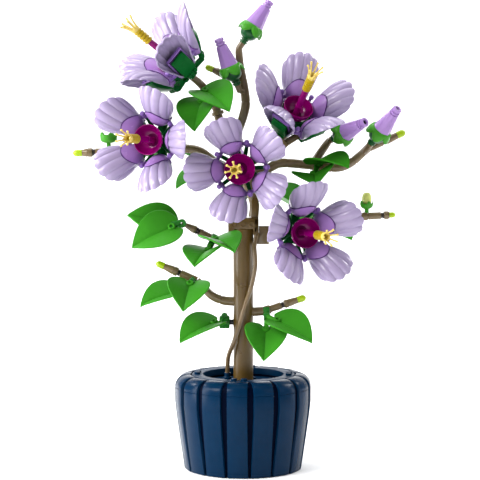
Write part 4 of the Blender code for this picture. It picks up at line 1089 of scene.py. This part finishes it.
def add_leaf(blades, clips, blade, holds, leaf):
    seat = leaf_frame(*leaf)
    blades.add(blade, seat)
    under = seat @ Vector((0.0, 6.0, leaf_rise(6.0 / LEAF_LENGTH) - 1.3))
    blades.add(tube(smooth([(*hold, 2.2) for hold in holds] + [(*under, 1.9)], 5), 16))
    knob = seat @ shift((0.0, 2.6, leaf_rise(2.6 / LEAF_LENGTH) - 0.3))
    crown = [(1.3, 0.0), (3.1, 0.0), (3.0, 2.0), (2.5, 2.7), (1.7, 2.7), (1.35, 2.3)]
    blades.add(ring(crown, 30, 0.2), knob)
    clips.add(turned(oblong(0.0, 1.45, 0.3, 1.3), 20), knob)


def make_ring_leaves(blade):
    for place, (name, stretch, share, leaves) in RING_LEAVES.items():
        blades, clips = Form(), Form()
        route = smooth(ROUTES[name], 2) if len(ROUTES[name]) > 2 else ROUTES[name]
        start, end = Vector(route[stretch][:3]), Vector(route[stretch + 1][:3])
        middle, axis = start.lerp(end, share), (end - start).normalized()
        inner = max(route[stretch][3], route[stretch + 1][3]) + 0.2
        if place in WHOLE_CLIPS:
            outer, half = WHOLE_CLIPS[place]
            clips.add(ring(oblong(inner, outer, -half, half), 36, 1.3), frame_on(middle, axis))
            clips.add(barrel(2.2, 2.2, 1.6, 2.6), shift(middle + Vector((0.0, -1.0, outer))) @ UPRIGHT)
        else:
            outward = square_to(axis, sum((Vector(leaf[0]) - middle for leaf in leaves), Vector()))
            facing = Matrix((outward, axis.cross(outward), axis)).transposed().to_4x4()
            clips.add(half_ring(inner, inner + 1.5, 5.0), shift(middle) @ facing)
        for leaf in leaves:
            towards = square_to(axis, Vector(leaf[0]) - middle)
            holds = [middle + towards * reach for reach in (inner + 1.1, inner + 3.4)]
            clips.add(barrel(2.6, 2.1, 2.1, 2.5), frame_on(holds[1], axis))
            add_leaf(blades, clips, blade, holds, leaf)
        blades.made(f"{place}_blades", LEAF, "leaf_green", f"leaves_{place}")
        clips.made(f"{place}_clip", LEAF_CLIP, "leaf_green")


def make_stem_leaves(blade):
    for place, (green, foot, head, leaves) in STEM_LEAVES.items():
        blades, clips = Form(), Form(along(foot, head, [(0.0, 2.0), (0.1, 2.4), (0.9, 2.4), (1.0, 2.0)]))
        if place in HINGES:
            pin, bar = HINGES[place]
            clips.add(ring(oblong(0.9, 3.5, -1.8, 1.8), 30, 0.5), shift(pin) @ UPRIGHT)
            clips.add(tube(bar))
        for leaf in leaves:
            add_leaf(blades, clips, blade, [Vector(head)], leaf)
        blades.made(f"{place}_leaf_blades", green, "leaf_green", f"leaves_{place}")
        clips.made(f"{place}_leaf_clip", LEAF_CLIP, "leaf_green")


make_pot()
make_trunk()
make_boughs()
make_flowers()
make_buds()
make_small_buds()
leaf_blade = make_blade()
make_ring_leaves(leaf_blade)
make_stem_leaves(leaf_blade)


# Stage


def make_stage():
    """A pale sheet in metres that runs under the pot and curves up behind it."""
    bend, half_width = 1.4, 6.0
    curve = [(2.6 + bend * sin(turn), bend - bend * cos(turn)) for turn in sweep(0.0, 90.0, 25)]
    line = [(-4.0, 0.0), (-1.0, 0.0), (1.0, 0.0), *curve, (4.0, 5.0)]
    points = [(x, y, z) for y, z in line for x in (-half_width, half_width)]
    faces = [[2 * index, 2 * index + 1, 2 * index + 3, 2 * index + 2] for index in range(len(line) - 1)]
    mesh = bpy.data.meshes.new("backdrop")
    mesh.from_pydata(points, [], faces)
    mesh.shade_smooth()
    paper = plastic("backdrop", (250, 250, 251), 0.85, 0.05, 0.02, 0.01, 2.0)
    paper.name = "backdrop_paper"
    mesh.materials.append(paper)
    sheet = bpy.data.objects.new("backdrop", mesh)
    scene.collection.objects.link(sheet)


def area_light(name, place, size, watts, target=(0.0, 0.0, 0.2), colour=(1.0, 1.0, 1.0)):
    data = bpy.data.lights.new(name, "AREA")
    data.shape = "RECTANGLE"
    data.size, data.size_y = size
    data.energy = watts
    data.color = colour
    lamp = bpy.data.objects.new(name, data)
    lamp.location = place
    lamp.rotation_euler = (Vector(target) - Vector(place)).to_track_quat("-Z", "Y").to_euler()
    scene.collection.objects.link(lamp)


make_stage()
area_light("key", (-1.5, -1.3, 1.6), (0.8, 1.0), 46.0, colour=(1.0, 0.985, 0.96))
area_light("fill", (1.7, -1.1, 1.1), (1.3, 1.4), 6.5, colour=(0.97, 0.985, 1.0))
area_light("top", (0.0, 0.3, 2.4), (2.0, 2.0), 31.0)
area_light("strip_left", (-1.5, -0.3, 0.6), (0.65, 1.3), 33.0)
area_light("strip_right", (1.4, 0.2, 0.6), (0.07, 1.3), 5.0)
area_light("strip_front", (-0.95, -1.7, 0.45), (0.08, 1.1), 3.0, (0.0, 0.0, 0.25))
area_light("back_left", (-1.4, 0.75, 1.45), (0.45, 0.45), 15.0, (0.0, 0.0, 0.1))
area_light("back_right", (1.4, 0.75, 1.45), (0.45, 0.45), 15.0, (0.0, 0.0, 0.1))
area_light("backdrop_wash", (0.0, 1.2, 2.6), (3.0, 0.8), 120.0, (0.0, 4.0, 0.5))

world = bpy.data.worlds.new("studio")
world.use_nodes = True
world.node_tree.nodes["Background"].inputs["Color"].default_value = (1.0, 1.0, 1.0, 1.0)
world.node_tree.nodes["Background"].inputs["Strength"].default_value = 0.24
scene.world = world
scene.view_settings.view_transform = "Standard"

lens = bpy.data.cameras.new("camera")
lens.lens = 130.5
lens.sensor_width = 36.0
camera = bpy.data.objects.new("camera", lens)
camera.location = (-0.0026, -1.380, 0.284)
camera.rotation_euler = (radians(85.8), 0.0, 0.0)
scene.collection.objects.link(camera)
bpy.context.scene.camera = camera
